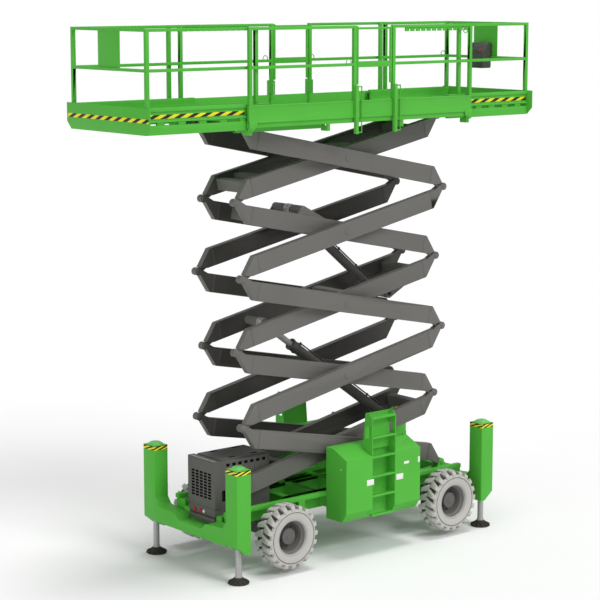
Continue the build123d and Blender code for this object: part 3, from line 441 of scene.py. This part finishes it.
def weldRings(level, kind):
    centre, along = armFrame(level, kind)[:2]

    def shape(piece):
        reach = (arm["ringAt"], arm["ringAt"] + arm["ringWidth"])
        for side in (-1, 1):
            for distance in reach:
                sliced(piece, centre + along * (side * distance), along)
            low, high = span(side, *reach)

            def onRing(place, normal):
                return low < (place - centre).dot(along) < high and abs(normal.y) > facing

            chooseFaces(piece, onRing)
            bpy.ops.mesh.extrude_region_shrink_fatten(TRANSFORM_OT_shrink_fatten={"value": arm["ringHeight"]})
            bpy.ops.object.mode_set(mode="OBJECT")
    return shape


def looksInward(place, normal):
    return abs(place.y) > arm["sidesFrom"] and normal.y * place.y < 0 and abs(normal.y) > facing


for level in range(1, arm["levels"] + 1):
    for kind in ("inner", "outer"):
        skin = dressed(f"arm_{kind}_{level}", paint["arms"], arm["edge"], weldRings(level, kind))
        # the inner side faces get the darker grey: painted shade
        coverWith(skin, paint["armInsideShade"], looksInward)
print("arms dressed")

# outrigger frames: hazard tape round the top of each tower, a bolted eight-sided cap plate on it; topLine is
# the cross member's top on one side, where a corner stands (y, z) and where it comes to
tower = {
    "ends": {"front": -2.0625, "rear": 2.4775}, "y": 0.95, "top": 1.575,
    "edge": 0.008, "tape": (1.515, 1.5749),
    "topLine": (
        ((0.820, 0.905), (0.820, 0.840)), ((0.690, 0.880), (0.745, 0.742)), ((0.450, 0.820), (0.430, 0.722)),
        ((0.420, 0.760), (0.350, 0.706)), ((0.275, 0.652), (0.270, 0.637)),
    ),
    "cornerSize": 0.004,
    "plate": [(-0.01, 0.118), (0.010, 0.118), (0.016, 0.104), (0.018, 0.090), (0.030, 0.084), (0.038, 0.070),
              (0.040, 0.04)],
    "plateSides": 8, "bolt": [(0, 0.009), (0.007, 0.009), (0.009, 0.006)], "bolts": 4, "boltRing": 0.100,
    "boltLift": 0.011,
}


def frameShape(piece):
    for side in (-1, 1):
        for (fromY, fromZ), (toY, toZ) in tower["topLine"]:
            def atCorner(co):
                return math.hypot(co.y * side - fromY, co.z - fromZ) < tower["cornerSize"]

            movePoints(piece, atCorner, (0, side * (toY - fromY), toZ - fromZ))
    low, high = tower["tape"]
    sliced(piece, (0, 0, high), (0, 0, 1), True)
    sliced(piece, (0, 0, low), (0, 0, 1))


def capPlate(name, x, y):
    plate = turned(name, (x, y, tower["top"]), (0, 0, 1), tower["plate"], tower["plateSides"])
    soften(plate, 0.002)
    bolts, ring, z = [], tower["boltRing"], tower["top"] + tower["boltLift"]
    for index in range(tower["bolts"]):
        angle = math.tau * (index + 0.5) / tower["bolts"]
        spot = (x + ring * math.cos(angle), y + ring * math.sin(angle), z)
        bolts.append(turned("bolt", spot, (0, 0, 1), tower["bolt"], 6))
    return joined(name, [plate] + bolts)


def onTape(place, normal):
    return tower["tape"][0] < place.z < tower["tape"][1] and abs(normal.z) < upright


def onTop(place, normal):
    return place.z > tower["tape"][1] - tower["cornerSize"] and normal.z > facing


for end, x in tower["ends"].items():
    node = f"outrigger_frame_{end}"
    skin = dressed(node, paint["green"], tower["edge"], frameShape)
    coverWith(skin, paint["towerTape"], onTape)
    # the tower tops get the paler green: painted top light
    coverWith(skin, paint["capTopLight"], onTop)
    for side, where in nearAndFar:
        plate = capPlate(f"tower_plate_{end}_{where}", x, side * tower["y"])
        # the cap plates get the paler green: painted top light
        settle(plate, paint["capTopLight"], node)
print("towers taped")

# jack legs: rod, bright collar nut, ribbed rubber foot; profiles are (height, radius)
leg = {
    "foot": [(0.0, 0.136), (0.010, 0.140), (0.020, 0.134), (0.024, 0.112), (0.046, 0.106), (0.050, 0.084),
             (0.070, 0.078), (0.076, 0.062)],
    "collar": [(0.090, 0.060), (0.094, 0.050), (0.112, 0.048), (0.116, 0.043)],
    "rod": [(1.24, 0.043)], "padTop": 0.091,
    "ribs": 12, "ribReach": (0.05, 0.146), "ribHalf": 0.009, "ribZ": (0.004, 0.082), "ribTaper": 0.36,
}


def jackLeg(name, x, y):
    rod = turned("rod", (x, y, 0), (0, 0, 1), leg["foot"] + leg["collar"] + leg["rod"], 36)
    soften(rod, 0.0015, 2, 25)
    (start, finish), (low, high), half = leg["ribReach"], leg["ribZ"], leg["ribHalf"]
    rib = block("rib", (x + start, y - half, low), (x + finish, y + half, high), 0)
    pushFaces(rib, lambda place, normal: normal.x > facing, (0, 0, 0), (1, 1, leg["ribTaper"]), (x, y, low))
    soften(rib, 0.002)
    ribs = []
    for index in range(leg["ribs"]):
        turn = Matrix.Rotation(math.tau * index / leg["ribs"], 4, "Z")
        ribs.append(copied(rib, "rib", about((x, y, 0), turn)))
    bpy.data.objects.remove(rib)
    return joined(name, [rod] + ribs)


for end, x in tower["ends"].items():
    for side, where in nearAndFar:
        node = f"leg_{end}_{where}"
        piece = jackLeg(f"jack_{node}", x, side * tower["y"])
        settle(piece, paint["chrome"], node, [node])
        coverWith(piece, paint["pad"], lambda place, normal: place.z < leg["padTop"])
print("legs turned")

# wheel: carcass, chevron lugs down both shoulders, deep dished rim; the near front one is made and copied.
# Profiles are (distance out, radius); painted shade lies in a groove and between the lugs, each (from, to
# radius, half width), and dish and hub are shaded inside (radius, distance out)
wheel = {
    "ends": {"front": -1.234, "rear": 1.789}, "y": 0.95, "z": 0.512,
    "carcass": [(-0.125, 0.250), (-0.150, 0.264), (-0.160, 0.300), (-0.1605, 0.349), (-0.156, 0.354),
                (-0.1605, 0.359), (-0.154, 0.384), (-0.128, 0.398), (0.0, 0.404), (0.128, 0.398),
                (0.154, 0.384), (0.1605, 0.359), (0.156, 0.354), (0.1605, 0.349), (0.160, 0.300),
                (0.150, 0.264), (0.125, 0.250), (-0.125, 0.250)],
    "lugs": 20, "lugHalf": 0.031, "lugY": (0.134, 0.008), "lugZ": (0.388, 0.4425), "lugEdge": 0.006,
    "heel": (0.045, 0, -0.006), "heelGrow": 1.75, "crownIn": 0.007, "shoulder": (-0.006, -0.027, -0.022),
    "rim": [(-0.15, 0.02), (-0.15, 0.115), (-0.07, 0.118), (-0.07, 0.200), (-0.140, 0.206), (-0.147, 0.253),
            (0.130, 0.253), (0.136, 0.264), (0.145, 0.262), (0.149, 0.250), (0.142, 0.240), (0.120, 0.236),
            (0.114, 0.226), (0.078, 0.220), (0.070, 0.206), (-0.044, 0.200), (-0.050, 0.192), (-0.050, 0.120),
            (0.046, 0.115), (0.055, 0.106), (0.055, 0.040), (0.062, 0.036), (0.062, 0.01)],
    "nuts": 10, "nutRing": 0.156, "nutIn": 0.05,
    "nut": [(0, 0.017), (0.012, 0.017), (0.014, 0.012), (0.026, 0.011)],
    "groove": (0.3495, 0.3585, 0.1595), "betweenLugs": (0.386, 0.404, 0.13),
    "dish": (0.238, 0.119), "hub": (0.1995, 0.07),
}
hubAt = Vector((wheel["ends"]["front"], -wheel["y"], wheel["z"]))
outward = (0, -1, 0)


def makeTyre():
    carcass = turned("tyre", hubAt, outward, wheel["carcass"], 72, True)
    (outer, inner), (foot, top), half, heel = wheel["lugY"], wheel["lugZ"], wheel["lugHalf"], wheel["heel"]
    low = hubAt + Vector((-half, -outer, foot))
    lug = block("lug", low, hubAt + Vector((half, -inner, top)), 0)
    middle = hubAt + Vector((heel[0], 0, top - wheel["crownIn"]))
    pushFaces(lug, lambda place, normal: normal.y > facing, heel, (wheel["heelGrow"], 1, 1), middle)
    drawFaces(lug, lambda place, normal: normal.y < -facing, wheel["shoulder"])
    soften(lug, wheel["lugEdge"])
    lugs = []
    for index in range(wheel["lugs"]):
        turn = Matrix.Rotation(math.tau * index / wheel["lugs"], 4, "Y")
        lugs.append(copied(lug, "lug", about(hubAt, turn)))
    bpy.data.objects.remove(lug)
    lugs = joined("lugs", lugs)
    mirrored = Matrix.Rotation(math.pi / wheel["lugs"], 4, "Y") @ Matrix.Scale(-1, 4, (0, 1, 0))
    return joined("tyre", [carcass, lugs, copied(lugs, "lugs", about(hubAt, mirrored))])


def makeRim():
    rim = turned("rim", hubAt, outward, wheel["rim"], 64)
    soften(rim, 0.0025, 2, 20)
    nuts, ring = [], wheel["nutRing"]
    for index in range(wheel["nuts"]):
        angle = math.tau * index / wheel["nuts"]
        spot = hubAt + Vector((ring * math.cos(angle), wheel["nutIn"], ring * math.sin(angle)))
        nuts.append(turned("nut", spot, outward, wheel["nut"], 6))
    return joined("rim", [rim] + nuts)


def fitWheel(tyre, rim, end, side, where):
    shift = Matrix.Translation((wheel["ends"][end] - hubAt.x, 0, 0))
    if side > 0:
        shift = shift @ about((hubAt.x, 0, 0), Matrix.Rotation(math.pi, 4, "Z"))
    centre = Vector((wheel["ends"][end], side * wheel["y"], wheel["z"]))

    def radius(place):
        return math.hypot(place.x - centre.x, place.z - centre.z)

    def out(place):
        return (place.y - centre.y) * side

    def onBand(place, band):
        low, high, half = band
        return low < radius(place) < high and abs(out(place)) < half

    def inGroove(place, normal):
        return onBand(place, wheel["groove"])

    def betweenLugs(place, normal):
        return onBand(place, wheel["betweenLugs"]) and (place - centre).normalized().dot(normal) > facing

    def within(limit, depth):
        return lambda place, normal: radius(place) < limit and out(place) < depth

    tread = copied(tyre, f"wheel_tyre_{end}_{where}", shift)
    settle(tread, paint["rubber"], f"tyre_{end}_{where}", [f"tyre_{end}_{where}"], 30)
    # the groove and the floor between lugs get darker rubber: painted shade
    coverWith(tread, paint["rubberGrooveShade"], inGroove)
    coverWith(tread, paint["rubberGrooveShade"], betweenLugs)
    disc = copied(rim, f"wheel_rim_{end}_{where}", shift)
    settle(disc, paint["rim"], f"rim_{end}_{where}", [f"rim_{end}_{where}"], 30)
    coverWith(disc, paint["dish"], within(*wheel["dish"]))
    coverWith(disc, paint["hub"], within(*wheel["hub"]))


tyre, rim = makeTyre(), makeRim()
for end in wheel["ends"]:
    for side, where in nearAndFar:
        fitWheel(tyre, rim, end, side, where)
bpy.data.objects.remove(tyre)
bpy.data.objects.remove(rim)
print("wheels made")

# power unit: housing behind a wider cowl with a pressed grille, side vents, lid with pockets, lamps
unit = {
    "front": -1.97, "cowlBack": -1.86, "back": -1.0, "cowlHalf": 0.312, "half": 0.293,
    "toe": 0.655, "bottom": 0.70, "sill": 0.86, "top": 1.53,
    "grille": {"rows": 9, "columns": 5, "pitch": (0.094, 0.042), "hole": (0.070, 0.028), "middle": 1.17,
               "deep": 0.03, "field": (0.26, 0.21)},
    "vents": {"count": 8, "start": -1.732, "pitch": 0.104, "half": 0.029, "z": (1.435, 1.475), "deep": 0.03},
    "round": 0.012,
    "intake": {"x": (-1.835, -1.765), "z": (0.957, 1.107)},
    "lid": {"x": (-1.834, -1.024), "half": 0.269, "thick": 0.008},
    "pockets": {"x": (-1.60, -1.22), "y": 0.21, "half": (0.06, 0.022), "deep": 0.004},
    "ribs": {"half": 0.006, "z": (1.30, 1.42), "lift": 0.005},
    "strip": ((0.012, -0.28, -0.004), (0.036, 0.27, 0.002)),
    "lampZ": 0.795,
    "lamps": {"tail_lamp_far": (0.163, 0.036, "red"), "tail_lamp_near": (0.025, 0.036, "red"),
              "work_lamp": (-0.052, 0.022, "white")},
}


def makeCowl():
    front, half, grille = unit["front"], unit["cowlHalf"], unit["grille"]
    cowl = block("cowl", (front, -half, unit["sill"]), (unit["cowlBack"], half, unit["top"]), 0)
    soften(cowl, 0.008, 3)
    halfY, halfZ = (size / 2 for size in grille["hole"])
    holes = []
    for row in range(grille["rows"]):
        for column in range(grille["columns"]):
            y = (column - (grille["columns"] - 1) / 2) * grille["pitch"][0]
            z = grille["middle"] + (row - (grille["rows"] - 1) / 2) * grille["pitch"][1]
            low = (front - 0.02, y - halfY, z - halfZ)
            holes.append(block("hole", low, (front + grille["deep"], y + halfY, z + halfZ), 0))
    cutWith(cowl, holes)
    return cowl


def makeHousing():
    half, vents, intake = unit["half"], unit["vents"], unit["intake"]
    low = (unit["cowlBack"] - 0.02, -half, unit["bottom"])
    housing = block("housing", low, (unit["back"], half, unit["top"] - unit["lid"]["thick"]), 0)
    soften(housing, unit["round"], 3)
    openings = []
    for side in (-1, 1):
        inner, outer = span(side, half - vents["deep"], half + 0.02)
        for index in range(vents["count"]):
            x, reach = vents["start"] + vents["pitch"] * index, vents["half"]
            low, high = vents["z"]
            openings.append(block("vent", (x - reach, inner, low), (x + reach, outer, high), 0))
        (start, finish), (low, high) = intake["x"], intake["z"]
        openings.append(block("intake", (start, inner, low), (finish, outer, high), 0))
    cutWith(housing, openings)
    return housing


def makeApron():                                           # slanted foot under the cowl, a toe below it
    front, half, bottom = unit["front"], unit["half"], unit["bottom"]
    apron = block("apron", (front + 0.004, -half, bottom + 0.01), (unit["cowlBack"], half, unit["sill"]), 0)
    sliced(apron, (front + 0.05, 0, bottom), (-1, 0, -0.9), True)
    soften(apron, 0.006)
    return [apron, block("toe", (front + 0.002, -half, unit["toe"]), (front + 0.022, half, bottom + 0.03))]


def makeLid():
    top, lidSize, size = unit["top"], unit["lid"], unit["pockets"]
    (start, finish), half = lidSize["x"], lidSize["half"]
    lid = block("lid", (start, -half, top - 0.01), (finish, half, top + lidSize["thick"]), 0)
    soften(lid, 0.004)
    halfX, halfY = size["half"]
    pockets = []
    for x in size["x"]:
        for y in (-size["y"], size["y"]):
            low = (x - halfX, y - halfY, top - size["deep"])
            pockets.append(block("pocket", low, (x + halfX, y + halfY, top + 0.02), 0))
    cutWith(lid, pockets)
    return lid


def makeRibs():                                            # pressed ribs under the vents
    size, vents = unit["ribs"], unit["vents"]
    ribs = []
    for side in (-1, 1):
        inner, outer = span(side, unit["half"] - 0.002, unit["half"] + size["lift"])
        for index in range(vents["count"] - 1):
            x = vents["start"] + vents["pitch"] * (index + 0.5)
            (low, high), half = size["z"], size["half"]
            ribs.append(block("rib", (x - half, inner, low), (x + half, outer, high), 0.002))
    return ribs


def inGrille(place, normal):
    front, grille = unit["front"], unit["grille"]
    (halfWide, halfHigh), deep = grille["field"], place.x - front
    onField = abs(place.y) < halfWide and abs(place.z - grille["middle"]) < halfHigh
    return slack < deep < grille["deep"] + slack and onField


def inVent(place, normal):
    deep = unit["half"] - abs(place.y)
    inWall = slack < deep < unit["vents"]["deep"] + slack
    alongSide = unit["cowlBack"] < place.x < unit["back"] - 2 * unit["round"]
    rows = (unit["vents"]["z"], unit["intake"]["z"])
    return inWall and alongSide and any(low - slack < place.z < high + slack for low, high in rows)


def inPocket(place, normal):
    size = unit["pockets"]
    return abs(abs(place.y) - size["y"]) < size["half"][1] + slack and abs(place.z - unit["top"]) < 0.006


shell = joined("power_unit_shell", [makeHousing(), makeCowl()] + makeApron() + [makeLid()] + makeRibs())
settle(shell, paint["unit"], "power_unit", ["power_unit"], 30)
# grille holes, vents and lid pockets are near black inside: painted shade
for test in (inGrille, inVent, inPocket):
    coverWith(shell, paint["black"], test)
# a pale strip along the cowl's top front edge: a painted highlight
low, high = (Vector((unit["front"], 0, unit["top"])) + Vector(corner) for corner in unit["strip"])
strip = block("cowl_edge_painted_highlight", low, high, 0.002)
settle(strip, paint["unitEdgeHighlight"], "power_unit")
for name, (y, radius, finish) in unit["lamps"].items():
    rings = [(0, radius), (0.012, radius), (0.018, radius * 0.7), (0.020, radius * 0.3)]
    lamp = turned(name, (unit["front"] + 0.006, y, unit["lampZ"]), (-1, 0, 0), rings, 20)
    settle(lamp, paint[finish], "power_unit")
print("power unit housed")

# roll-out decks: open channel down each side, wider end plate with its lower corners cut, hazard tape on both
roll = {
    "sideY": 0.862, "lip": 6.365, "flange": 6.257, "web": 0.026,
    "floor": (6.25, 6.29), "mainFloor": (6.25, 6.26),
    "plate": {"half": 0.95, "x": (3.413, 3.428), "z": (6.070, 6.416), "cut": 0.10},
    "endTape": {"half": 0.925, "x": (3.428, 3.4292), "z": (6.224, 6.277)},
    "sideTape": {"x": {"left": (-3.405, -1.84), "right": (2.215, 3.405)}, "z": (6.273, 6.324),
                 "thick": 0.0015},
}


def onChannel(place, normal):
    onSide = abs(normal.y) > flat and abs(abs(place.y) - roll["sideY"]) < slack
    return onSide and roll["flange"] < place.z < roll["lip"]


def channelSides(piece):
    sliced(piece, (0, 0, roll["lip"]), (0, 0, 1))
    sliced(piece, (0, 0, roll["flange"]), (0, 0, 1))
    chooseFaces(piece, onChannel)
    bpy.ops.mesh.inset(thickness=0, depth=-roll["web"])
    bpy.ops.object.mode_set(mode="OBJECT")


def onFloor(low, high):
    return lambda place, normal: low < place.z < high and normal.z > flat


def endPlate(name, sign):
    size = roll["plate"]
    (back, face), (low, high), half = span(sign, *size["x"]), size["z"], size["half"]
    plate = block(name, (back, -half, low), (face, half, high), 0)
    for side in (-1, 1):
        sliced(plate, (0, side * (half - size["cut"]), low), (0, side, -1), True)
    soften(plate, 0.002)
    return plate


def deckTapes(end, sign):
    size = roll["endTape"]
    (back, face), (low, high), half = span(sign, *size["x"]), size["z"], size["half"]
    tapes = [block("tape", (back, -half, low), (face, half, high), 0.0004)]
    size = roll["sideTape"]
    (start, finish), (low, high), web = size["x"][end], size["z"], roll["sideY"] - roll["web"]
    for side in (-1, 1):
        inner, outer = span(side, web, web + size["thick"])
        tapes.append(block("tape", (start, inner, low), (finish, outer, high), 0.0004))
    return tapes


for end, sign in (("left", -1), ("right", 1)):
    node = f"ext_deck_{end}"
    coverWith(dressed(node, paint["green"], 0.003, channelSides), paint["tread"], onFloor(*roll["floor"]))
    settle(endPlate(f"end_plate_{end}", sign), paint["green"], node)
    settle(joined(f"deck_tape_{end}", deckTapes(end, sign)), paint["deckTape"], node)
coverWith(dressed("main_deck", paint["green"]), paint["tread"], onFloor(*roll["mainFloor"]))
print("decks taped")

# platform fittings: stop racks under the top rails, half rings on the rails, keeper plates with rollers at
# the skirt's lower ends; a ring has its node, its centre and the way its open side looks
fitting = {
    "railY": 0.9025, "railUnder": 7.365,
    "rack": {"starts": ((1, -1.650), (-1, 0.926)), "pitch": 0.103, "teeth": 12, "tooth": (0.072, 0.030),
             "bar": 0.022, "half": 0.008},
    "ringSize": (0.042, 0.006), "ringCut": 0.014,
    "rings": (
        ("main_rails", (-0.11, 0.9025, 6.912), -1), ("main_rails", (0.75, 0.9025, 6.912), -1),
        ("main_rails", (-0.10, -0.9025, 6.912), -1), ("main_rails", (2.09, -0.9025, 7.318), 1),
        ("ext_rails_right", (3.31, 0.836, 6.912), -1),
    ),
    "keeper": {"ends": ((-1.832, 1), (2.206, -1)), "long": 0.13, "z": (6.075, 6.195), "skirtY": 0.9245,
               "half": 0.01, "cutFrom": 0.05, "rollerIn": 0.045, "rollerUp": 0.012},
    "roller": [(0, 0.030), (0.030, 0.030), (0.034, 0.026), (0.034, 0.012), (0.040, 0.010)],
}


def stopRack(side, start):
    size = fitting["rack"]
    inner, outer = side * fitting["railY"] - size["half"], side * fitting["railY"] + size["half"]
    top = fitting["railUnder"]
    foot, (long, deep) = top - size["bar"], size["tooth"]
    bar = block("bar", (start, inner, foot), (start + size["pitch"] * size["teeth"], outer, top), 0.001)
    tooth = block("tooth", (start, inner, foot - deep), (start + long, outer, foot + 0.002), 0.002)
    moves = [Matrix.Translation((size["pitch"] * index, 0, 0)) for index in range(1, size["teeth"])]
    return [bar] + [copied(tooth, "tooth", move) for move in moves] + [tooth]


def halfRing(name, centre, openSide):
    wide, thin = fitting["ringSize"]
    bpy.ops.object.select_all(action="DESELECT")
    bpy.ops.mesh.primitive_torus_add(major_radius=wide, minor_radius=thin, major_segments=28, minor_segments=8,
                                     location=centre, rotation=(math.pi / 2, 0, 0))
    ring = bpy.context.object
    ring.name = name
    bpy.ops.object.transform_apply(location=True, rotation=True, scale=True)
    sliced(ring, Vector(centre) + Vector((0, 0, openSide * fitting["ringCut"])), (0, 0, openSide), True)
    return ring


def keeper(side, x, inward):
    size = fitting["keeper"]
    start, finish = sorted((x, x + inward * size["long"]))
    inner, outer = span(side, size["skirtY"] - size["half"], size["skirtY"] + size["half"])
    low, high = size["z"]
    plate = block("keeper", (start, inner, low), (finish, outer, high), 0)
    sliced(plate, (x + inward * size["long"], 0, low + size["cutFrom"]), (inward, 0, -0.9), True)
    soften(plate, 0.003)
    spot = (x + inward * size["rollerIn"], side * (size["skirtY"] - size["half"]), low + size["rollerUp"])
    return [plate, turned("roller", spot, (0, side, 0), fitting["roller"], 24)]


racks = [piece for side, start in fitting["rack"]["starts"] for piece in stopRack(side, start)]
settle(joined("stop_racks", racks), paint["green"], "main_rails")
for index, (node, centre, openSide) in enumerate(fitting["rings"]):
    settle(halfRing(f"rail_ring_{index + 1}", centre, openSide), paint["green"], node)
keepers = []
for side in (-1, 1):
    for x, inward in fitting["keeper"]["ends"]:
        keepers += keeper(side, x, inward)
settle(joined("skirt_keepers", keepers), paint["green"], "main_deck")
print("platform fitted")

# chassis: the main beams' front ends are lowered to the cross member
beam = {"front": -1.94, "y": 0.45, "top": 0.855, "drop": 0.09}


def beamEnds(piece):
    def atEnd(co):
        return co.x < beam["front"] and abs(co.y) < beam["y"] and co.z > beam["top"]

    movePoints(piece, atEnd, (0, 0, -beam["drop"]))


dressed("chassis_frame", paint["green"], 0.003, beamEnds)
print("chassis dressed")

# side modules: the ladder tower's back plate is drawn forward, its foot follows the sloping roof, and a hand
# hole goes through both side plates; blank labels and a sight dot on the near one
module = {
    "plates": (0.214, 0.648), "x": (0.2, 0.66), "back": (0.78, 0.835, 0.857), "foot": (1.48, 1.6),
    "draw": 0.09, "drop": 0.04,
    "hole": {"y": 0.975, "z": 1.75, "half": (0.02, 0.04, 0.09), "round": 0.03},
    "labels": ((0.114, 0.244, 1.014, 1.096), (0.668, 0.797, 1.012, 1.095), (0.813, 0.909, 1.222, 1.259),
               (1.082, 1.118, 1.209, 1.291)),
    "labelY": (-1.0812, -1.079),
    "dotAt": (-0.265, -0.962, 1.283), "dot": [(0, 0.009), (0.004, 0.009), (0.007, 0.005)],
}


def towerShape(side):
    (left, right), (innermost, inner, outer), (low, high) = module["x"], module["back"], module["foot"]

    def atFoot(co):
        return innermost < co.y * side < outer and low < co.z < high and left < co.x < right

    def above(co):
        return inner < co.y * side < outer and co.z > high and left < co.x < right

    def shape(piece):
        movePoints(piece, atFoot, (0, side * module["draw"], -module["drop"]))
        movePoints(piece, above, (0, side * module["draw"], 0))
    return shape


for side, where in nearAndFar:
    skin = dressed(f"side_module_{where}", paint["green"], 0, towerShape(side))
    hole = module["hole"]
    half = Vector(hole["half"])
    holes = []
    for x in module["plates"]:
        centre = Vector((x, side * hole["y"], hole["z"]))
        holes.append(block("hole", centre - half, centre + half, 0))
        soften(holes[-1], hole["round"], 4)
    cutWith(skin, holes)
    soften(skin, 0.003)
    smoothed(skin)
labels = []
outer, inner = module["labelY"]
for left, right, low, high in module["labels"]:
    labels.append(block("label", (left, outer, low), (right, inner, high), 0.0004))
settle(joined("module_labels_near", labels), paint["white"], "side_module_near")
dot = turned("module_dot_near", module["dotAt"], (-1, 0, 0), module["dot"], 12)
settle(dot, paint["white"], "side_module_near")
print("side modules dressed")

# control box on the right end's rails: hooded case; stick, stop button and switches stand up from the hood
control = {
    "low": (3.180, -0.150, 6.722), "high": (3.366, 0.178, 7.100), "hoodFrom": 6.98, "hood": (-0.85, 0, 0.62),
    "plate": ((3.172, -0.12, 6.75), (3.186, 0.148, 6.93)), "up": (-0.8, 0, 0.6),
    "stickAt": (3.235, 0.07, 7.03),
    "stick": [(0, 0.026), (0.012, 0.028), (0.024, 0.012), (0.07, 0.010), (0.082, 0.018), (0.11, 0.017),
              (0.118, 0.008)],
    "switchesAt": ((3.2, -0.01, 6.97), (3.2, 0.025, 6.97)),
    "switch": [(0, 0.010), (0.012, 0.010), (0.014, 0.005), (0.034, 0.005)],
    "stopAt": (3.21, -0.09, 6.98),
    "stop": [(0, 0.014), (0.014, 0.014), (0.016, 0.024), (0.026, 0.024), (0.030, 0.016)],
}
case = block("case", control["low"], control["high"], 0)
sliced(case, (control["low"][0], 0, control["hoodFrom"]), control["hood"], True)
soften(case, 0.022, 4)
parts = [case, block("plate", *control["plate"])]
parts.append(turned("stick", control["stickAt"], control["up"], control["stick"], 16))
for spot in control["switchesAt"]:
    parts.append(turned("switch", spot, control["up"], control["switch"], 10))
settle(joined("control_station", parts), paint["moulding"], "control_box", ["control_box"])
stop = turned("stop_button", control["stopAt"], control["up"], control["stop"], 20)
settle(stop, paint["red"], "control_box")
print("control box made")

# lift cylinders: gland collars, ports, clips and a hard pipe along each barrel. Foot and eye are an inner
# arm's level and the distances along and up it; a place on a barrel is (share of its length, distance on)
cylinders = {
    "upper": {"foot": (3, 0.989, -0.190), "eye": (2, -0.654, 0.192), "radius": 0.066, "length": 1.62},
    "lower": {"foot": (5, 1.262, -0.107), "eye": (3, -1.114, 0.006), "radius": 0.074, "length": 2.27},
}
pipework = {
    "collars": (((1, -0.135), 0.012, 0.014), ((1, -0.03), 0.022, 0.014), ((0, 0.16), 0.03, 0.008)),
    "collarFoot": 0.002, "chamfer": 0.004,
    "pipe": ((0, 0.20), (1, -0.16)), "pipeRadius": 0.011, "pipeGap": 0.022,
    "ports": ((0, 0.20), (1, -0.17)),
    "port": ((-0.01, 0.022), (0.018, 0.022), (0.020, 0.017), (0.036, 0.017)),
    "clips": ((0, 0.55), (0.6, 0)), "clip": ((-0.01, 0.016), (0.038, 0.016)),
}


def seatPoint(level, along, up):
    centre, ahead, above = armFrame(level, "inner")
    return centre + ahead * along + above * up


def pipeAlong(size):
    foot, eye = seatPoint(*size["foot"]), seatPoint(*size["eye"])
    axis = (eye - foot).normalized()
    radius, chamfer = size["radius"], pipework["chamfer"]
    above = axis.cross(Vector((0, 1, 0))).normalized()
    above = above if above.z > 0 else -above

    def along(share, distance):
        return size["length"] * share + distance

    pieces = []
    for place, wide, grow in pipework["collars"]:
        at, low, high = along(*place), radius + pipework["collarFoot"], radius + grow
        rings = [(at, low), (at + chamfer, high), (at + wide, high), (at + wide + chamfer, low)]
        pieces.append(turned("collar", foot, axis, rings, 32))
    run = [(along(*place), pipework["pipeRadius"]) for place in pipework["pipe"]]
    pieces.append(turned("pipe", foot + above * (radius + pipework["pipeGap"]), axis, run, 10))
    for name, corners in (("port", 12), ("clip", 8)):
        rings = [(radius + up, wide) for up, wide in pipework[name]]
        for place in pipework[name + "s"]:
            pieces.append(turned(name, foot + axis * along(*place), above, rings, corners))
    return pieces


for name, size in cylinders.items():
    pipes = joined(f"cylinder_{name}_pipework", pipeAlong(size))
    settle(pipes, paint["runningGear"], f"cylinder_{name}_barrel")
print("cylinders piped")

# studio: plain floor that keeps the shadow, white all round, soft suns
studio = {
    "floorSize": 160.0, "fill": 0.42, "floorLift": 0.04, "glossShare": 0.35,
    "suns": {                                              # from, strength, softness in degrees
        "key": ((0.15, -0.85, 0.72), 1.45, 30),
        "left": ((-1.0, -0.15, 0.25), 0.55, 30),
        "overhead": ((0.1, -0.05, 1.0), 1.45, 20),
    },
    "camera": (-17.6117, -21.1495, 7.9286), "tilt": -0.1584, "turn": -0.6884, "lens": 117.86, "sensor": 36,
}
bpy.ops.object.select_all(action="DESELECT")
bpy.ops.mesh.primitive_plane_add(size=studio["floorSize"], location=(0, 0, 0))
floor = bpy.context.object
floor.name = "studio_floor"
floorPaint, floorPlace, floorPut = newMaterial("studio floor", {"Roughness": 0.9, "Specular IOR Level": 0.0})
floorPut("Base Color", floorPlace.noise(0.8).blend(rgba(230, 230, 230), rgba(232, 232, 232)))
tree = floorPaint.node_tree
seen = Wire(tree, tree.nodes.new("ShaderNodeLightPath").outputs["Is Camera Ray"])
glow = seen.node("ShaderNodeEmission", {}, {"Color": (1, 1, 1, 1), "Strength": seen * studio["floorLift"]})
surface = Wire(tree, tree.nodes["Principled BSDF"].outputs[0])
both = seen.node("ShaderNodeAddShader", {}, {0: surface, 1: glow})
tree.links.new(both.socket, tree.nodes["Material Output"].inputs["Surface"])
floor.data.materials.append(floorPaint)

world = bpy.data.worlds.new("studio")
bpy.context.scene.world = world
world.use_nodes = True
tree = world.node_tree
sky = tree.nodes["Background"]
sky.inputs["Color"].default_value = (1, 1, 1, 1)
path = tree.nodes.new("ShaderNodeLightPath")
kinds = ("Camera", "Transmission", "Glossy")
cameraRay, glassRay, glossRay = (Wire(tree, path.outputs[f"Is {kind} Ray"]) for kind in kinds)
direct = cameraRay + glassRay + glossRay * studio["glossShare"]
tree.links.new((direct * (1 - studio["fill"]) + studio["fill"]).socket, sky.inputs["Strength"])

for name, (source, strength, softness) in studio["suns"].items():
    bpy.ops.object.light_add(type="SUN", location=(0, 0, 12))
    sun = bpy.context.object
    sun.name = "sun_" + name
    sun.rotation_euler = Vector(source).to_track_quat("Z", "Y").to_euler()
    sun.data.energy = strength
    sun.data.angle = math.radians(softness)

aim = (math.pi / 2 + studio["tilt"], 0, studio["turn"])
bpy.ops.object.camera_add(location=studio["camera"], rotation=aim)
camera = bpy.context.object
camera.data.lens = studio["lens"]
camera.data.sensor_width = studio["sensor"]
camera.data.clip_end = 500
bpy.context.scene.camera = camera
bpy.context.scene.view_settings.view_transform = "Standard"
print("studio set")
